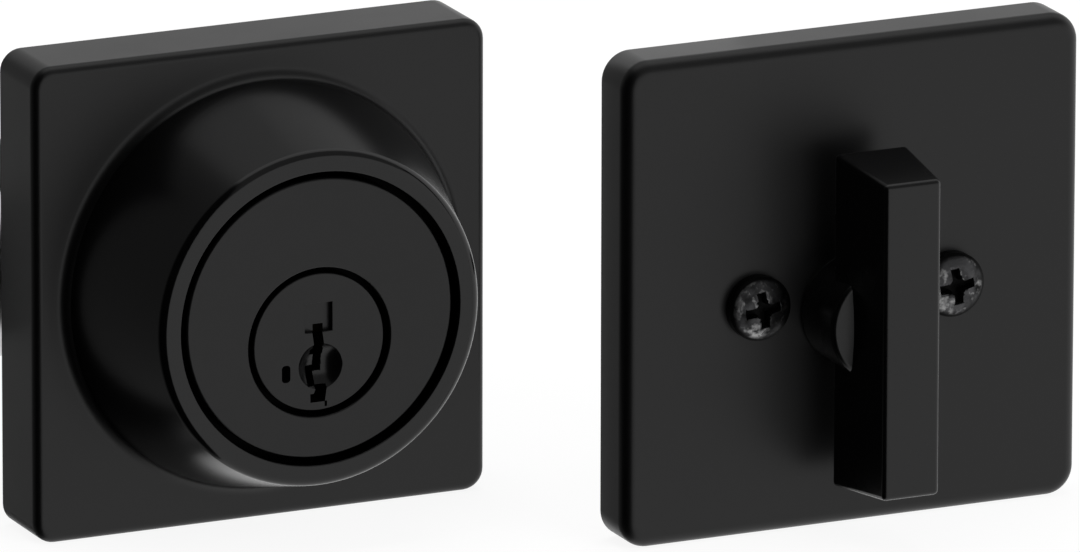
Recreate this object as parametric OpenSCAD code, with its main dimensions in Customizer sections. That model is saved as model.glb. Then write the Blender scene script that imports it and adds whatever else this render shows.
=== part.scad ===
// Single-cylinder deadbolt with square trim, in three assemblies: the exterior half with its
// tapered boss and key cylinder, the tubular latch that carries the bolt, and the interior half
// with its turn-piece. The interior half stands beside the exterior one, facing the same way.
// Millimetres. +Z is up and the fronts face -Y. The key axis crosses the plane where the
// exterior half meets the door at the origin.

/* [Exterior housing] */
// Side of the square exterior housing
ext_side = 66.7; // [64:0.1:80]
// Depth of the square part of the exterior housing
ext_depth = 11.5; // [10:0.1:16]
// Corner radius of the exterior housing, seen from the front
ext_corner_r = 3; // [2:0.1:6]
// Fillet round the front edge of the exterior housing
ext_edge_r = 1.25; // [0.5:0.05:1.9]
// Thickness of the exterior housing's walls
ext_wall = 2.4; // [1.8:0.1:3]
// Height of the boss rim above the square part
boss_h = 20; // [16:0.5:26]
// Diameter of the boss at its rim
boss_rim_d = 46.9; // [45:0.1:50]
// How much wider the boss is at its foot, on each side
flare_w = 5.7; // [4:0.1:6.5]
// Radius of the fillet where the boss leaves the square part
foot_fillet = 1.3; // [0.5:0.1:2.5]
// Radius on the outer edge of the boss rim
rim_edge = 0.8; // [0.3:0.1:1.2]
// Width of the flat rim
rim_w = 2.8; // [2.2:0.1:3.4]
// Depth of the lip behind the rim
lip_depth = 5; // [3:0.1:8]
// How far the lip stands in from the cavity behind it
lip_w = 0.85; // [0.6:0.05:1.2]
// Thickness of the stiffening ribs behind the plate
rib_t = 1.6; // [1:0.1:2.5]

/* [Cylinder] */
// Distance of the key and turn axis below the centre of each square
axis_drop = 3.4; // [2:0.1:5]
// Gap between the boss rim and the cylinder's face
face_gap = 1.2; // [0.8:0.1:1.6]
// How far the cylinder's face lies behind the rim
face_recess = 0.5; // [0:0.1:1.5]
// Thickness of the ring that seats the cylinder behind the lip
seat_ring_t = 4; // [3:0.1:6]
// Wall of the barrel round the plug
shell_wall = 3.6; // [3:0.1:4.5]
// Distance from the barrel's rear end to the door
shell_rear = 6; // [5.5:0.1:8]
// Distance between the mounting screws
screw_spacing = 29; // [28:0.1:31]
// Height of the screw line above the key axis
screw_rise = 1.7; // [0:0.1:3]
// Diameter of each threaded post
post_d = 7.2; // [6.5:0.1:8]
// How far the posts reach into the door
post_reach = 26; // [20:0.5:28]
// Diameter of the threaded hole in each post
post_hole_d = 3.5; // [3:0.1:4]
// Depth of the threaded hole in each post
post_hole_depth = 22; // [12:1:25]
// Section of the snap ring that holds the cylinder in the housing
snap_ring_t = 1; // [0.8:0.1:1.4]

/* [Key plug] */
// Diameter of the plug's face
plug_face_d = 19; // [18.6:0.1:20]
// Gap between the plug's face and the cylinder's face
plug_gap = 1; // [0.6:0.1:1.3]
// Thickness of the plug's head
plug_head_t = 3; // [2.4:0.1:4]
// How far the plug's face lies behind the cylinder's face
plug_recess = 0.3; // [0:0.1:1]
// Diameter of the plug's barrel
plug_d = 17.2; // [17:0.1:17.8]
// Radial running clearance of shafts, plugs and pins
run_fit = 0.05; // [0.02:0.01:0.09]
// How far the plug stands out behind the barrel
plug_tail = 4; // [3.4:0.1:4.5]
// Side of the square recess over the keyway
window_side = 4; // [3:0.1:4.5]
// Depth of the square recess
window_depth = 1.35; // [0.8:0.05:1.8]
// Height of the square recess above the plug's centre
window_rise = 3.4; // [3:0.1:4]
// Diameter of the round dimple that guides the key
dimple_d = 6.5; // [5:0.1:7]
// Depth of the dimple
dimple_depth = 1.2; // [0.6:0.1:1.6]
// Distance of the dimple below the plug's centre
dimple_drop = 3.45; // [3:0.05:4]
// Width of the slot for the re-keying tool
tool_slot_w = 1.25; // [1:0.05:1.6]
// Length of the slot for the re-keying tool
tool_slot_l = 2.4; // [2:0.1:3]

/* [Tumblers] */
// Number of key pins
pin_count = 5; // [4:1:5]
// Distance between key pins along the plug
pin_pitch = 3.6; // [3.4:0.05:3.7]
// Diameter of a key pin
pin_d = 2.8; // [2.6:0.1:3]
// Travel of a key pin when a key lifts it
pin_travel = 2.2; // [1.5:0.1:2.2]
// Wire diameter of the pin springs
pin_wire_d = 0.3; // [0.2:0.05:0.4]
// Height of the side bar
side_bar_h = 1.4; // [1.2:0.1:1.6]

/* [Torque blade] */
// Diameter of the D-shaped torque blade
blade_d = 6.3; // [6:0.1:6.6]
// Distance of the blade's flat from its axis
blade_flat = 1.7; // [1.4:0.1:2]
// Clearance of the blade in its sockets
blade_fit = 0.12; // [0.08:0.01:0.2]
// Length of blade past the far face of the door
blade_past = 5; // [3:0.5:6]
// Thickness of the door that the lock is set up for
door_t = 44.4; // [42:0.1:46]

/* [Latch] */
// Distance from the door's edge to the key axis
backset = 60.3; // [59:0.1:70]
// Throw of the bolt
throw = 25.4; // [22:0.1:25.4]
// Height of the bolt
bolt_h = 18; // [16:0.1:18.4]
// Thickness of the bolt
bolt_t = 14.3; // [13:0.1:14.4]
// Distance from the key axis to the bolt's rear end, bolt drawn back
bolt_rear = 21.5; // [20.5:0.1:24]
// Corner radius of the bolt's section
bolt_corner_r = 1.6; // [1:0.1:2.5]
// Diameter of the hardened roller in the bolt
roller_d = 5.8; // [5:0.1:6]
// Outer diameter of the latch tube
tube_d = 25; // [24.8:0.1:26]
// Wall of the latch tube
tube_wall = 0.6; // [0.5:0.1:0.7]
// Height of the faceplate
face_h = 57.15; // [54:0.1:58]
// Width of the faceplate
face_w = 25.4; // [25:0.1:28]
// Corner radius of the faceplate
face_corner_r = 6.35; // [3:0.1:8]
// Thickness of the faceplate
face_t = 2.4; // [2:0.1:3]
// Thickness of the plate behind the faceplate
back_t = 1.6; // [1.2:0.1:2]
// Distance between the faceplate's screw holes
face_screw_spacing = 41.3; // [40:0.1:43]
// Diameter of the faceplate's screw holes
face_screw_d = 4.4; // [4:0.1:5]
// Radius of the round back of the latch case
case_r = 25.5; // [25:0.1:26]
// Distance of the case's lower edge below the key axis
case_drop = 10; // [9.5:0.1:12]
// Gap between the two case plates
case_gap = 15.2; // [15:0.1:15.6]
// Thickness of a case plate
case_t = 1; // [0.8:0.1:1.2]
// Diameter of the crank hub
hub_d = 12.4; // [12:0.1:12.8]
// Diameter of the crank hub's journals
journal_d = 9.2; // [8.8:0.1:9.6]
// Diameter of the crank pin
crank_pin_d = 4; // [3.6:0.1:4.4]
// Thickness of the crank arm
arm_t = 3; // [2.4:0.1:3]
// Thickness of the bolt's tail
tail_t = 2; // [1.6:0.1:2.4]
// Diameter of the case rivets
rivet_d = 2.4; // [2:0.1:2.6]

/* [Interior half] */
// Side of the square interior plate
int_side = 68.1; // [66:0.1:80]
// Depth of the interior plate
int_depth = 7.6; // [7:0.1:11]
// Corner radius of the interior plate, seen from the front
int_corner_r = 4; // [3:0.1:6]
// Fillet round the front edge of the interior plate
int_edge_r = 1.95; // [1:0.05:2.1]
// Thickness of the interior plate's walls
int_wall = 2.4; // [2.2:0.1:3]
// Diameter of the turn-piece's round hub
turn_hub_d = 15.8; // [15.2:0.1:18]
// Height of the round hub above the plate
turn_hub_h = 10.1; // [8:0.1:12]
// Height of the back of the turn bar above the plate
bar_lift = 5.1; // [4:0.1:6]
// Height of the front of the turn bar above the plate
bar_top = 18.7; // [16:0.1:22]
// Length of the turn bar at its back
bar_back_l = 46.7; // [42:0.1:50]
// Width of the turn bar at its back
bar_back_w = 10.9; // [10:0.1:12]
// Length of the turn bar at its front
bar_front_l = 44.1; // [40:0.1:48]
// Width of the turn bar at its front
bar_front_w = 8.3; // [7:0.1:10]
// Radius on the edges of the turn bar
bar_edge_r = 0.8; // [0.3:0.1:1]
// Diameter of the turn-piece's spindle
spindle_d = 10.8; // [10.4:0.1:11]
// Wall of the plastic bushing round the spindle
bushing_wall = 1.45; // [1.2:0.05:1.6]
// Thickness of the bushing's flange
bushing_flange_t = 0.6; // [0.4:0.1:0.8]
// Diameter of the mounting screws' heads
screw_head_d = 9; // [8.4:0.1:9.6]
// Height of the mounting screws' heads
screw_head_h = 2.8; // [2.2:0.1:3.2]
// Diameter of the mounting screws
screw_d = 4.1; // [3.8:0.1:4.4]
// Diameter of the plain neck under the heads of the mounting screws
screw_neck_d = 3.5; // [3.2:0.1:3.7]
// Length of the mounting screws behind the interior plate
screw_reach = 28; // [24:0.5:34]

/* [Arrangement] */
// Distance between the two key and turn axes
pair_x = 72; // [70:0.1:90]
// How far the interior half's plate stands in front of the exterior half's
pair_forward = 35.1; // [30:0.1:50]

/* [Hidden] */
$fn = 64;
eps = 0.05;
seat_fit = 0.02;

// Exterior levels, measured outwards from the door
rim_z = ext_depth + boss_h;
face_z = rim_z - face_recess;
plug_z = face_z - plug_recess;
seat_z = rim_z - lip_depth;
drum_z = seat_z - seat_ring_t;
pocket_z = ext_depth - ext_wall;
opening_d = boss_rim_d - 2*rim_w;
cavity_d = opening_d + 2*lip_w;
drum_d = opening_d - 2*face_gap;
core_spread = 5;
core_h = 11;
snap_ring_opening = 24;
rib_l = 7;

// Plug levels and the pieces that ride in it
shell_d = plug_d + 2*shell_wall;
head_gap = 0.15;
head_z = plug_z - plug_head_t;
plug_rear = shell_rear - plug_tail;
clip_t = 0.9;
clip_opening = 40;
clip_groove_depth = 1;
clip_overhang = 2;
socket_depth = 2.6;
blade_head_t = 1.2;
blade_head_d = 9.6;
blade_grip = 3;
blade_ring_gap = 0.5;
blade_ring_opening = 50;
first_pin_z = head_z - 2.6;
pin_floor = 0;
spring_turns = 4;
pin_groove_d = 2;
pin_nose_d = 0.9;
pin_nose_l = 1.3;
cover_y = plug_d/2 - 1.4;
spring_closed = 0.9;
pin_l = cover_y - pin_floor - pin_travel - spring_closed;
spring_room = 0.1;
pin_groove_room = 0.1;
cover_w = 3.5;
cover_t = 0.95;
bar_channel_y = pin_floor + 2.1;
bar_channel_x = 2.3;
bar_nose = 0.7;
spine_x = plug_d/2 - 3.4;
bar_wire_d = 0.25;
finger_gap = 0.2;
finger_t = 1;
tumbler_room = 1.3;
tool_slot_at = [-4.8, -4];
tool_slot_depth = 7;
keyway_depth = plug_z - first_pin_z + (pin_count - 1)*pin_pitch + pin_d/2;
// Each ward of the keyway: left edge, right edge, top and bottom, from the plug's centre
wards = [
    [-0.95, 0.53, 2.3, -1.2],
    [-1.25, 0.7, -1.1, -1.95],
    [-0.6, 0.6, -1.9, -3.6],
    [-1.8, 0.55, -3.5, -4.35],
    [-1.8, -0.65, -4.3, -6.15],
    [-0.75, 0.9, -6.05, -7.3],
    [-1.25, 0.9, -7.2, -8.4],
    [0.85, 1.2, -8.35, -9.1]];

// Latch places, with the bolt drawn back
latch_z = -door_t/2;
swing = 90;
crank_r = throw/2/sin(swing/2);
crank_rest = 90 - swing/2;
pin_x = throw/2;
slot_play = 0.65;
slot_half = crank_pin_d/2 + slot_play;
prong_w = 2;
prong_top = crank_r + 0.5;
arm_w = 7.2;
arm_gap = 0.5;
tail_z = arm_t/2 + arm_gap;
tail_low = hub_d/2 + 1.1;
strip_h = 3.3;
tongue_l = 8.5;
tongue_drop = 5;
tongue_rise = bolt_h/2 - 0.4;
tongue_end = -bolt_rear + 2.5;
tail_rivet_d = 3;
tail_rivet_x = -bolt_rear - 4;
roller_z = -2.4;
roller_fit = 0.1;
roller_front = 3.5;
roller_end = 0.2;
bolt_chamfer = 0.8;
bolt_fit = 0.3;
face_sink = 1.6;
tube_front = -backset + face_t + back_t;
cross_bore_r = 27;
tube_rear = -cross_bore_r + 1;
tube_inner_r = tube_d/2 - tube_wall;
tongue_in_tube = 14;
tongue_lap = 5;
case_tongue_h = 15;
tab_l = 4;
tab_w = 6;
tab_x = tube_rear - tongue_in_tube/2;
rivet_ring_r = case_r - 1.9;
rivet_lift = 70;
rivet_low = [17, 7.5];
rivet_collar = 0.6;
rivet_head_t = 0.6;
fork_room = 0.5;
detent_t = 0.6;
detent_w = 6;
detent_past = 1.5;
detent_ramp = [4, 1.5];
detent_gap = 0.3;
post_room = 0.5;

// Interior levels, measured outwards from its own back plane
int_pocket = int_depth - int_wall;
hub_gap = 0.1;
bushing_lip = 0.6;
screw_boss_wall = 3;
hub_z = int_depth + bushing_flange_t + hub_gap;
bushing_d = spindle_d + 2*run_fit + 2*bushing_wall;
int_boss_rear = 2.5;
int_boss_d = bushing_d + 2*int_wall;
int_post_d = screw_d + 2*screw_boss_wall;
int_post_rear = 0.6;
screw_room = 0.4;
screw_turn = 8;
screw_hole_d = screw_d + 2*screw_room;
washer_t = 0.5;
washer_w = 3;
washer_fit = 0.25;
washer_rise = 0.35;
ring_t = 0.8;
ring_gap = 0.1;
ring_groove = 0.7;
ring_lip = 2;
ring_opening = 60;
ring_z = int_boss_rear - washer_t - washer_rise - ring_gap - ring_t;
spindle_end = -1.5;
turn_socket_depth = 8;
turn_socket_fit = 0.2;
screw_neck_l = int_depth + 2;
cross_l = 5;
cross_w = 1.3;
cross_depth = 1.9;
pair_y = -ext_depth - pair_forward + int_depth;
pair_z = (int_side - ext_side)/2;

// ---- Placing: x to the right, y up and z outwards from the door --------------------------

module on_exterior() rotate([90, 0, 0]) children();
module on_latch() rotate([90, 0, 0]) translate([0, 0, latch_z]) children();
module on_interior() translate([pair_x, pair_y, pair_z]) rotate([90, 0, 0]) children();
module at_screws() for (side = [-1, 1]) translate([side*screw_spacing/2, screw_rise, 0]) children();
module along_bolt(x) translate([x, 0, 0]) rotate([90, 0, 90]) children();
function pin_z(i) = first_pin_z - i*pin_pitch;

// ---- Shared shapes -----------------------------------------------------------------------

// A rectangle with round corners, centred
module round_rect(w, h, r) {
    square([w - 2*r, h], center = true);
    square([w, h - 2*r], center = true);
    for (x = [-1, 1], y = [-1, 1]) translate([x*(w/2 - r), y*(h/2 - r)]) circle(r = r);
}

// A square slab with round corners and a rolled front edge
module rolled_slab(side, depth, corner_r, edge_r) {
    flat = side - 2*corner_r;
    linear_extrude(depth - edge_r) round_rect(side, side, corner_r);
    translate([0, 0, depth - edge_r]) {
        linear_extrude(edge_r) {
            square([flat, side - 2*edge_r], center = true);
            square([side - 2*edge_r, flat], center = true);
        }
        for (turn = [0:3]) rotate(90*turn) {
            translate([flat/2, side/2 - edge_r, 0]) rotate([90, 0, -90]) linear_extrude(flat)
                mirror([1, 0]) quarter_disc(edge_r);
            translate([flat/2, flat/2, 0]) rotate_extrude(angle = 90) {
                square([corner_r - edge_r, edge_r]);
                translate([corner_r - edge_r, 0]) quarter_disc(edge_r);
            }
        }
    }
}

module quarter_disc(r) intersection() {
    circle(r = r);
    square(r);
}

// Outline of a round bar with one flat
module d_outline(d, flat) difference() {
    circle(d = d);
    translate([-d, flat]) square(2*d);
}

// A split ring, open on one side by the angle given
module split_ring(outer_d, inner_d, t, opening) difference() {
    cylinder(d = outer_d, h = t);
    translate([0, 0, -eps]) cylinder(d = inner_d, h = t + 2*eps);
    translate([0, 0, -eps]) linear_extrude(t + 2*eps)
        polygon([[0, 0], outer_d*[cos(opening/2), sin(opening/2)],
            outer_d*[cos(opening/2), -sin(opening/2)]]);
}

// A wound wire spring that stands on z = 0
module wire_spring(coil_d, wire_d, length, turns, steps = 12, sides = 6) {
    mean_r = (coil_d - wire_d)/2;
    rise = length - wire_d;
    last = turns*steps;
    points = [for (i = [0:last], j = [0:sides - 1])
        let (a = 360*i/steps, b = 360*j/sides, r = mean_r + wire_d/2*cos(b))
            [r*cos(a), r*sin(a), wire_d/2 + rise*i/last + wire_d/2*sin(b)]];
    sleeve = [for (i = [0:last - 1], j = [0:sides - 1])
        let (k = (j + 1) % sides)
            [i*sides + j, i*sides + k, (i + 1)*sides + k, (i + 1)*sides + j]];
    start = [for (j = [sides - 1:-1:0]) j];
    finish = [for (j = [0:sides - 1]) last*sides + j];
    polyhedron(points, concat([start], sleeve, [finish]));
}

// ---- Exterior half -----------------------------------------------------------------------

// Outline of the tapered boss, half of it, with its foot fillet and round rim edge
module boss_outline() {
    foot = [boss_rim_d/2 + flare_w, 0];
    rim = [boss_rim_d/2 - rim_edge, boss_h - rim_edge];
    taper = atan2(rim[1], foot[0] - rim[0]) + asin(rim_edge/norm(rim - foot));
    spread = foot_fillet*tan(taper/2);
    difference() {
        union() {
            polygon([[0, -ext_wall/2], [foot[0] + spread, -ext_wall/2], [foot[0] + spread, 0],
                foot + spread*[-cos(taper), sin(taper)], rim + rim_edge*[sin(taper), cos(taper)],
                [rim[0], boss_h], [0, boss_h]]);
            translate(rim) circle(r = rim_edge);
        }
        translate(foot + [spread, foot_fillet]) circle(r = foot_fillet);
    }
}

module exterior_housing() color([0.09, 0.09, 0.095]) on_exterior() translate([0, axis_drop, 0])
    difference() {
        union() {
            difference() {
                union() {
                    rolled_slab(ext_side, ext_depth, ext_corner_r, ext_edge_r);
                    translate([0, 0, ext_depth]) rotate_extrude($fn = 160) boss_outline();
                }
                translate([0, 0, -eps]) linear_extrude(pocket_z + eps)
                    round_rect(ext_side - 2*ext_wall, ext_side - 2*ext_wall, ext_corner_r/2);
            }
            for (turn = [0:3]) rotate(90*turn)
                translate([-rib_t/2, ext_side/2 - ext_wall - rib_l, ext_wall])
                    cube([rib_t, rib_l + ext_wall/2, pocket_z - ext_wall/2]);
        }
        // The cavity for the cylinder, its mouth in the rim, and the groove of the snap ring
        translate([0, 0, pocket_z - eps]) cylinder(d = cavity_d, h = seat_z - pocket_z + eps);
        translate([0, 0, pocket_z - eps]) cylinder(d1 = cavity_d + 2*core_spread, d2 = cavity_d, h = core_h);
        cylinder(d = opening_d, h = rim_z + eps);
        translate([0, 0, drum_z - snap_ring_t - seat_fit])
            cylinder(d = cavity_d + snap_ring_t, h = snap_ring_t + 2*seat_fit);
    }

module cylinder_body() color([0.07, 0.07, 0.075]) on_exterior() difference() {
    union() {
        translate([0, axis_drop, drum_z]) {
            cylinder(d = drum_d, h = face_z - drum_z);
            cylinder(d = cavity_d - 2*run_fit, h = seat_ring_t);
        }
        translate([0, 0, shell_rear]) cylinder(d = shell_d, h = drum_z - shell_rear + eps);
        at_screws() translate([0, 0, -post_reach])
            cylinder(d = post_d, h = drum_z + post_reach + eps);
    }
    translate([0, 0, shell_rear - eps]) cylinder(d = plug_d + 2*run_fit, h = rim_z);
    translate([0, 0, head_z - head_gap]) cylinder(d = plug_face_d + 2*plug_gap, h = rim_z);
    at_screws() translate([0, 0, -post_reach - eps])
        cylinder(d = post_hole_d, h = post_hole_depth + eps);
    // The groove that the side bar's nose drops into when the lock is locked
    translate([plug_d/2, bar_channel_y, pin_z(pin_count - 1) - tumbler_room])
        linear_extrude((pin_count - 1)*pin_pitch + 2*tumbler_room)
        polygon([[-1, side_bar_h], [bar_nose + run_fit, 0], [-1, -side_bar_h]]);
}

module cylinder_snap_ring() color([0.6, 0.6, 0.62]) on_exterior()
    translate([0, axis_drop, drum_z - snap_ring_t]) rotate(-90)
        split_ring(cavity_d + snap_ring_t - 2*seat_fit, cavity_d - 2*snap_ring_t, snap_ring_t, snap_ring_opening);

module key_plug() color([0.06, 0.06, 0.065]) on_exterior() difference() {
    union() {
        translate([0, 0, head_z]) cylinder(d = plug_face_d, h = plug_head_t);
        translate([0, 0, plug_rear]) cylinder(d = plug_d, h = head_z - plug_rear + eps);
    }
    // Keyway, its square recess, the dimple and the slot for the re-keying tool
    translate([0, 0, plug_z - keyway_depth]) linear_extrude(keyway_depth + eps) for (w = wards)
        translate([w[0], w[3]]) square([w[1] - w[0], w[2] - w[3]]);
    translate([-window_side/2, window_rise - window_side/2, plug_z - window_depth])
        cube([window_side, window_side, window_depth + eps]);
    dimple_r = (pow(dimple_d/2, 2) + pow(dimple_depth, 2))/(2*dimple_depth);
    translate([0, -dimple_drop, plug_z + dimple_r - dimple_depth]) sphere(r = dimple_r);
    translate([tool_slot_at[0], tool_slot_at[1], plug_z - tool_slot_depth])
        linear_extrude(tool_slot_depth + eps)
        round_rect(tool_slot_w, tool_slot_l, tool_slot_w*0.4);
    // Chambers of the key pins, closed by the spring cover
    for (i = [0:pin_count - 1]) translate([0, pin_floor, pin_z(i)]) rotate([-90, 0, 0])
        cylinder(d = pin_d + 2*run_fit, h = cover_y - pin_floor + eps);
    translate([-cover_w/2 - run_fit, cover_y, pin_z(pin_count - 1) - tumbler_room - pin_d/2])
        cube([cover_w + 2*run_fit, plug_d, (pin_count - 1)*pin_pitch + 2*tumbler_room + pin_d]);
    // Channel of the side bar, with a window to each chamber
    translate([bar_channel_x, bar_channel_y - side_bar_h/2 - run_fit,
        pin_z(pin_count - 1) - tumbler_room])
        cube([plug_d/2, side_bar_h + 2*run_fit, (pin_count - 1)*pin_pitch + 2*tumbler_room]);
    for (i = [0:pin_count - 1])
        translate([pin_d/4, bar_channel_y - side_bar_h/2 - run_fit, pin_z(i) - finger_t/2 - run_fit])
            cube([bar_channel_x, side_bar_h + 2*run_fit, finger_t + 2*run_fit]);
    // Socket of the torque blade and groove of the plug clip
    translate([0, 0, plug_rear - eps]) cylinder(d = blade_head_d + 2*run_fit, h = socket_depth + eps);
    translate([0, 0, plug_rear]) linear_extrude(socket_depth + blade_grip)
        d_outline(blade_d + 2*blade_fit, blade_flat + blade_fit);
    translate([0, 0, shell_rear - clip_t - head_gap - seat_fit]) difference() {
        cylinder(d = plug_d + 1, h = clip_t + 2*seat_fit);
        translate([0, 0, -eps]) cylinder(d = plug_d - 2*clip_groove_depth, h = clip_t + 1);
    }
}

module plug_clip() color([0.62, 0.62, 0.64]) on_exterior()
    translate([0, 0, shell_rear - clip_t - head_gap]) rotate(90)
        split_ring(plug_d + 2*clip_overhang, plug_d - 2*clip_groove_depth + 2*run_fit, clip_t, clip_opening);

module spring_cover() color([0.72, 0.58, 0.3]) on_exterior()
    translate([-cover_w/2, cover_y, pin_z(pin_count - 1) - tumbler_room - pin_d/2 + run_fit])
        cube([cover_w, cover_t, (pin_count - 1)*pin_pitch + 2*tumbler_room + pin_d - 2*run_fit]);

// The side bar lies drawn in, flush with the plug, as the right key would hold it
module side_bar() color([0.72, 0.58, 0.3]) on_exterior() {
    rear = pin_z(pin_count - 1) - tumbler_room + run_fit;
    length = (pin_count - 1)*pin_pitch + 2*tumbler_room - 2*run_fit;
    translate([0, bar_channel_y, rear]) linear_extrude(length)
        polygon([[spine_x, -side_bar_h/2], [plug_d/2 - 2*bar_nose, -side_bar_h/2],
            [plug_d/2 - bar_nose/2, -side_bar_h/8], [plug_d/2 - bar_nose/2, side_bar_h/8],
            [plug_d/2 - 2*bar_nose, side_bar_h/2], [spine_x, side_bar_h/2]]);
    for (i = [0:pin_count - 1])
        translate([pin_d/2 + finger_gap, bar_channel_y - side_bar_h/2, pin_z(i) - finger_t/2])
            cube([spine_x - pin_d/2 - finger_gap + eps, side_bar_h, finger_t]);
}

module side_bar_springs() color([0.7, 0.7, 0.7]) on_exterior()
    for (i = [0.5, pin_count - 1.5]) translate([bar_channel_x, bar_channel_y, pin_z(i)])
        rotate([0, 90, 0])
        wire_spring(side_bar_h - 2*spring_room, bar_wire_d, spine_x - bar_channel_x, spring_turns);

module key_pin(i) color([0.75, 0.6, 0.3]) on_exterior()
    translate([0, pin_floor, pin_z(i)]) rotate([-90, 0, 0]) difference() {
        union() {
            cylinder(d = pin_d, h = pin_l);
            translate([0, 0, -pin_nose_l]) cylinder(d1 = pin_nose_d/2, d2 = pin_nose_d, h = pin_nose_l);
        }
        translate([0, 0, bar_channel_y - pin_floor - side_bar_h/2 - pin_groove_room]) difference() {
            cylinder(d = pin_d + 1, h = side_bar_h + 2*pin_groove_room);
            translate([0, 0, -eps]) cylinder(d = pin_groove_d, h = side_bar_h + 1);
        }
    }

module pin_spring(i) color([0.7, 0.7, 0.7]) on_exterior()
    translate([0, pin_floor + pin_l, pin_z(i)]) rotate([-90, 0, 0])
        wire_spring(pin_d - 2*spring_room, pin_wire_d, cover_y - pin_floor - pin_l, spring_turns);

module torque_blade() color([0.66, 0.66, 0.68]) on_exterior() {
    head_at = plug_rear + socket_depth - blade_head_t;
    tip = -door_t - blade_past;
    translate([0, 0, tip]) linear_extrude(head_at + blade_head_t + blade_grip - run_fit - tip)
        d_outline(blade_d, blade_flat);
    translate([0, 0, head_at]) cylinder(d = blade_head_d, h = blade_head_t - run_fit);
}

module blade_retainer() color([0.62, 0.62, 0.64]) on_exterior()
    translate([0, 0, plug_rear + run_fit])
        split_ring(blade_head_d, blade_d + 2*blade_ring_gap, socket_depth - blade_head_t - 2*run_fit,
            blade_ring_opening);

// ---- Interior half -----------------------------------------------------------------------

module interior_plate() color([0.09, 0.09, 0.095]) on_interior() difference() {
    union() {
        translate([0, axis_drop, 0]) {
            difference() {
                rolled_slab(int_side, int_depth, int_corner_r, int_edge_r);
                translate([0, 0, -eps]) linear_extrude(int_pocket + eps)
                    round_rect(int_side - 2*int_wall, int_side - 2*int_wall, int_corner_r/2);
            }
            for (turn = [0:3]) rotate(90*turn)
                translate([-rib_t/2, int_side/2 - int_wall - rib_l, int_boss_rear])
                    cube([rib_t, rib_l + int_wall/2, int_pocket - int_wall/2]);
        }
        translate([0, 0, int_boss_rear]) cylinder(d = int_boss_d, h = int_pocket - int_boss_rear + eps);
        at_screws() translate([0, 0, int_post_rear])
            cylinder(d = int_post_d, h = int_pocket - int_post_rear + eps);
    }
    translate([0, 0, -eps]) cylinder(d = bushing_d + 2*seat_fit, h = int_depth + 1);
    at_screws() translate([0, 0, -eps]) cylinder(d = screw_hole_d, h = int_depth + 1);
}

module spindle_bushing() color([0.85, 0.84, 0.8]) on_interior() difference() {
    union() {
        translate([0, 0, int_boss_rear]) cylinder(d = bushing_d, h = int_depth - int_boss_rear + eps);
        translate([0, 0, int_depth])
            cylinder(d = turn_hub_d - 2*bushing_lip, h = bushing_flange_t);
    }
    translate([0, 0, -eps]) cylinder(d = spindle_d + 2*run_fit, h = int_depth + 2);
}

module turn_piece() color([0.08, 0.08, 0.085]) on_interior() difference() {
    union() {
        translate([0, 0, hub_z]) cylinder(d = turn_hub_d, h = int_depth + turn_hub_h - hub_z);
        translate([0, 0, spindle_end]) cylinder(d = spindle_d, h = hub_z - spindle_end + eps);
        hull() for (x = [-1, 1], y = [-1, 1]) {
            translate([x*(bar_back_w/2 - bar_edge_r), y*(bar_back_l/2 - bar_edge_r),
                int_depth + bar_lift + bar_edge_r]) sphere(r = bar_edge_r, $fn = 24);
            translate([x*(bar_front_w/2 - bar_edge_r), y*(bar_front_l/2 - bar_edge_r),
                int_depth + bar_top - bar_edge_r]) sphere(r = bar_edge_r, $fn = 24);
        }
    }
    translate([0, 0, spindle_end - eps]) linear_extrude(turn_socket_depth + eps)
        d_outline(blade_d + 2*turn_socket_fit, blade_flat + turn_socket_fit);
    translate([0, 0, ring_z - seat_fit]) difference() {
        cylinder(d = spindle_d + 1, h = ring_t + 2*seat_fit);
        translate([0, 0, -eps]) cylinder(d = spindle_d - 2*ring_groove, h = ring_t + 1);
    }
}

module spring_washer() color([0.66, 0.66, 0.68]) on_interior()
    translate([0, 0, ring_z + ring_t + ring_gap/2]) rotate_extrude() {
        inner = spindle_d/2 + washer_fit;
        outer = inner + washer_w;
        polygon([[inner, 0], [outer, washer_rise], [outer, washer_rise + washer_t], [inner, washer_t]]);
    }

module retaining_ring() color([0.6, 0.6, 0.62]) on_interior()
    translate([0, 0, ring_z]) rotate(-90)
        split_ring(spindle_d + 2*ring_lip, spindle_d - 2*ring_groove + 2*run_fit, ring_t,
            ring_opening);

// Pan-head screw on z = 0, with a cross recess
module pan_screw(length) {
    side_h = screw_head_h/2;
    dome = screw_head_h - side_h;
    dome_r = (pow(screw_head_d/2, 2) + pow(dome, 2))/(2*dome);
    difference() {
        intersection() {
            cylinder(d = screw_head_d, h = screw_head_h + 1);
            translate([0, 0, screw_head_h - dome_r]) sphere(r = dome_r);
        }
        for (turn = [0, 90]) rotate(turn) translate([-cross_l/2, -cross_w/2, screw_head_h - cross_depth])
            cube([cross_l, cross_w, cross_depth + 1]);
        translate([0, 0, screw_head_h - cross_depth])
            cylinder(d1 = cross_w, d2 = 2*cross_w, h = cross_depth + eps);
    }
    translate([0, 0, -screw_neck_l]) cylinder(d = screw_neck_d, h = screw_neck_l + eps);
    translate([0, 0, -length]) cylinder(d = screw_d, h = length - screw_neck_l + eps);
    translate([0, 0, -length - screw_d/4]) cylinder(d1 = screw_d/2, d2 = screw_d, h = screw_d/4 + eps);
}

module mounting_screws() color([0.16, 0.16, 0.17]) on_interior()
    at_screws() translate([0, 0, int_depth]) rotate(screw_turn) pan_screw(int_depth + screw_reach);

// ---- Latch -------------------------------------------------------------------------------

// Outline of the faceplate and of the plate behind it, with the bolt's hole
module face_outline() difference() {
    round_rect(face_h, face_w, face_corner_r);
    round_rect(bolt_h + 2*bolt_fit, bolt_t + 2*bolt_fit, bolt_corner_r + bolt_fit);
}

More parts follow.
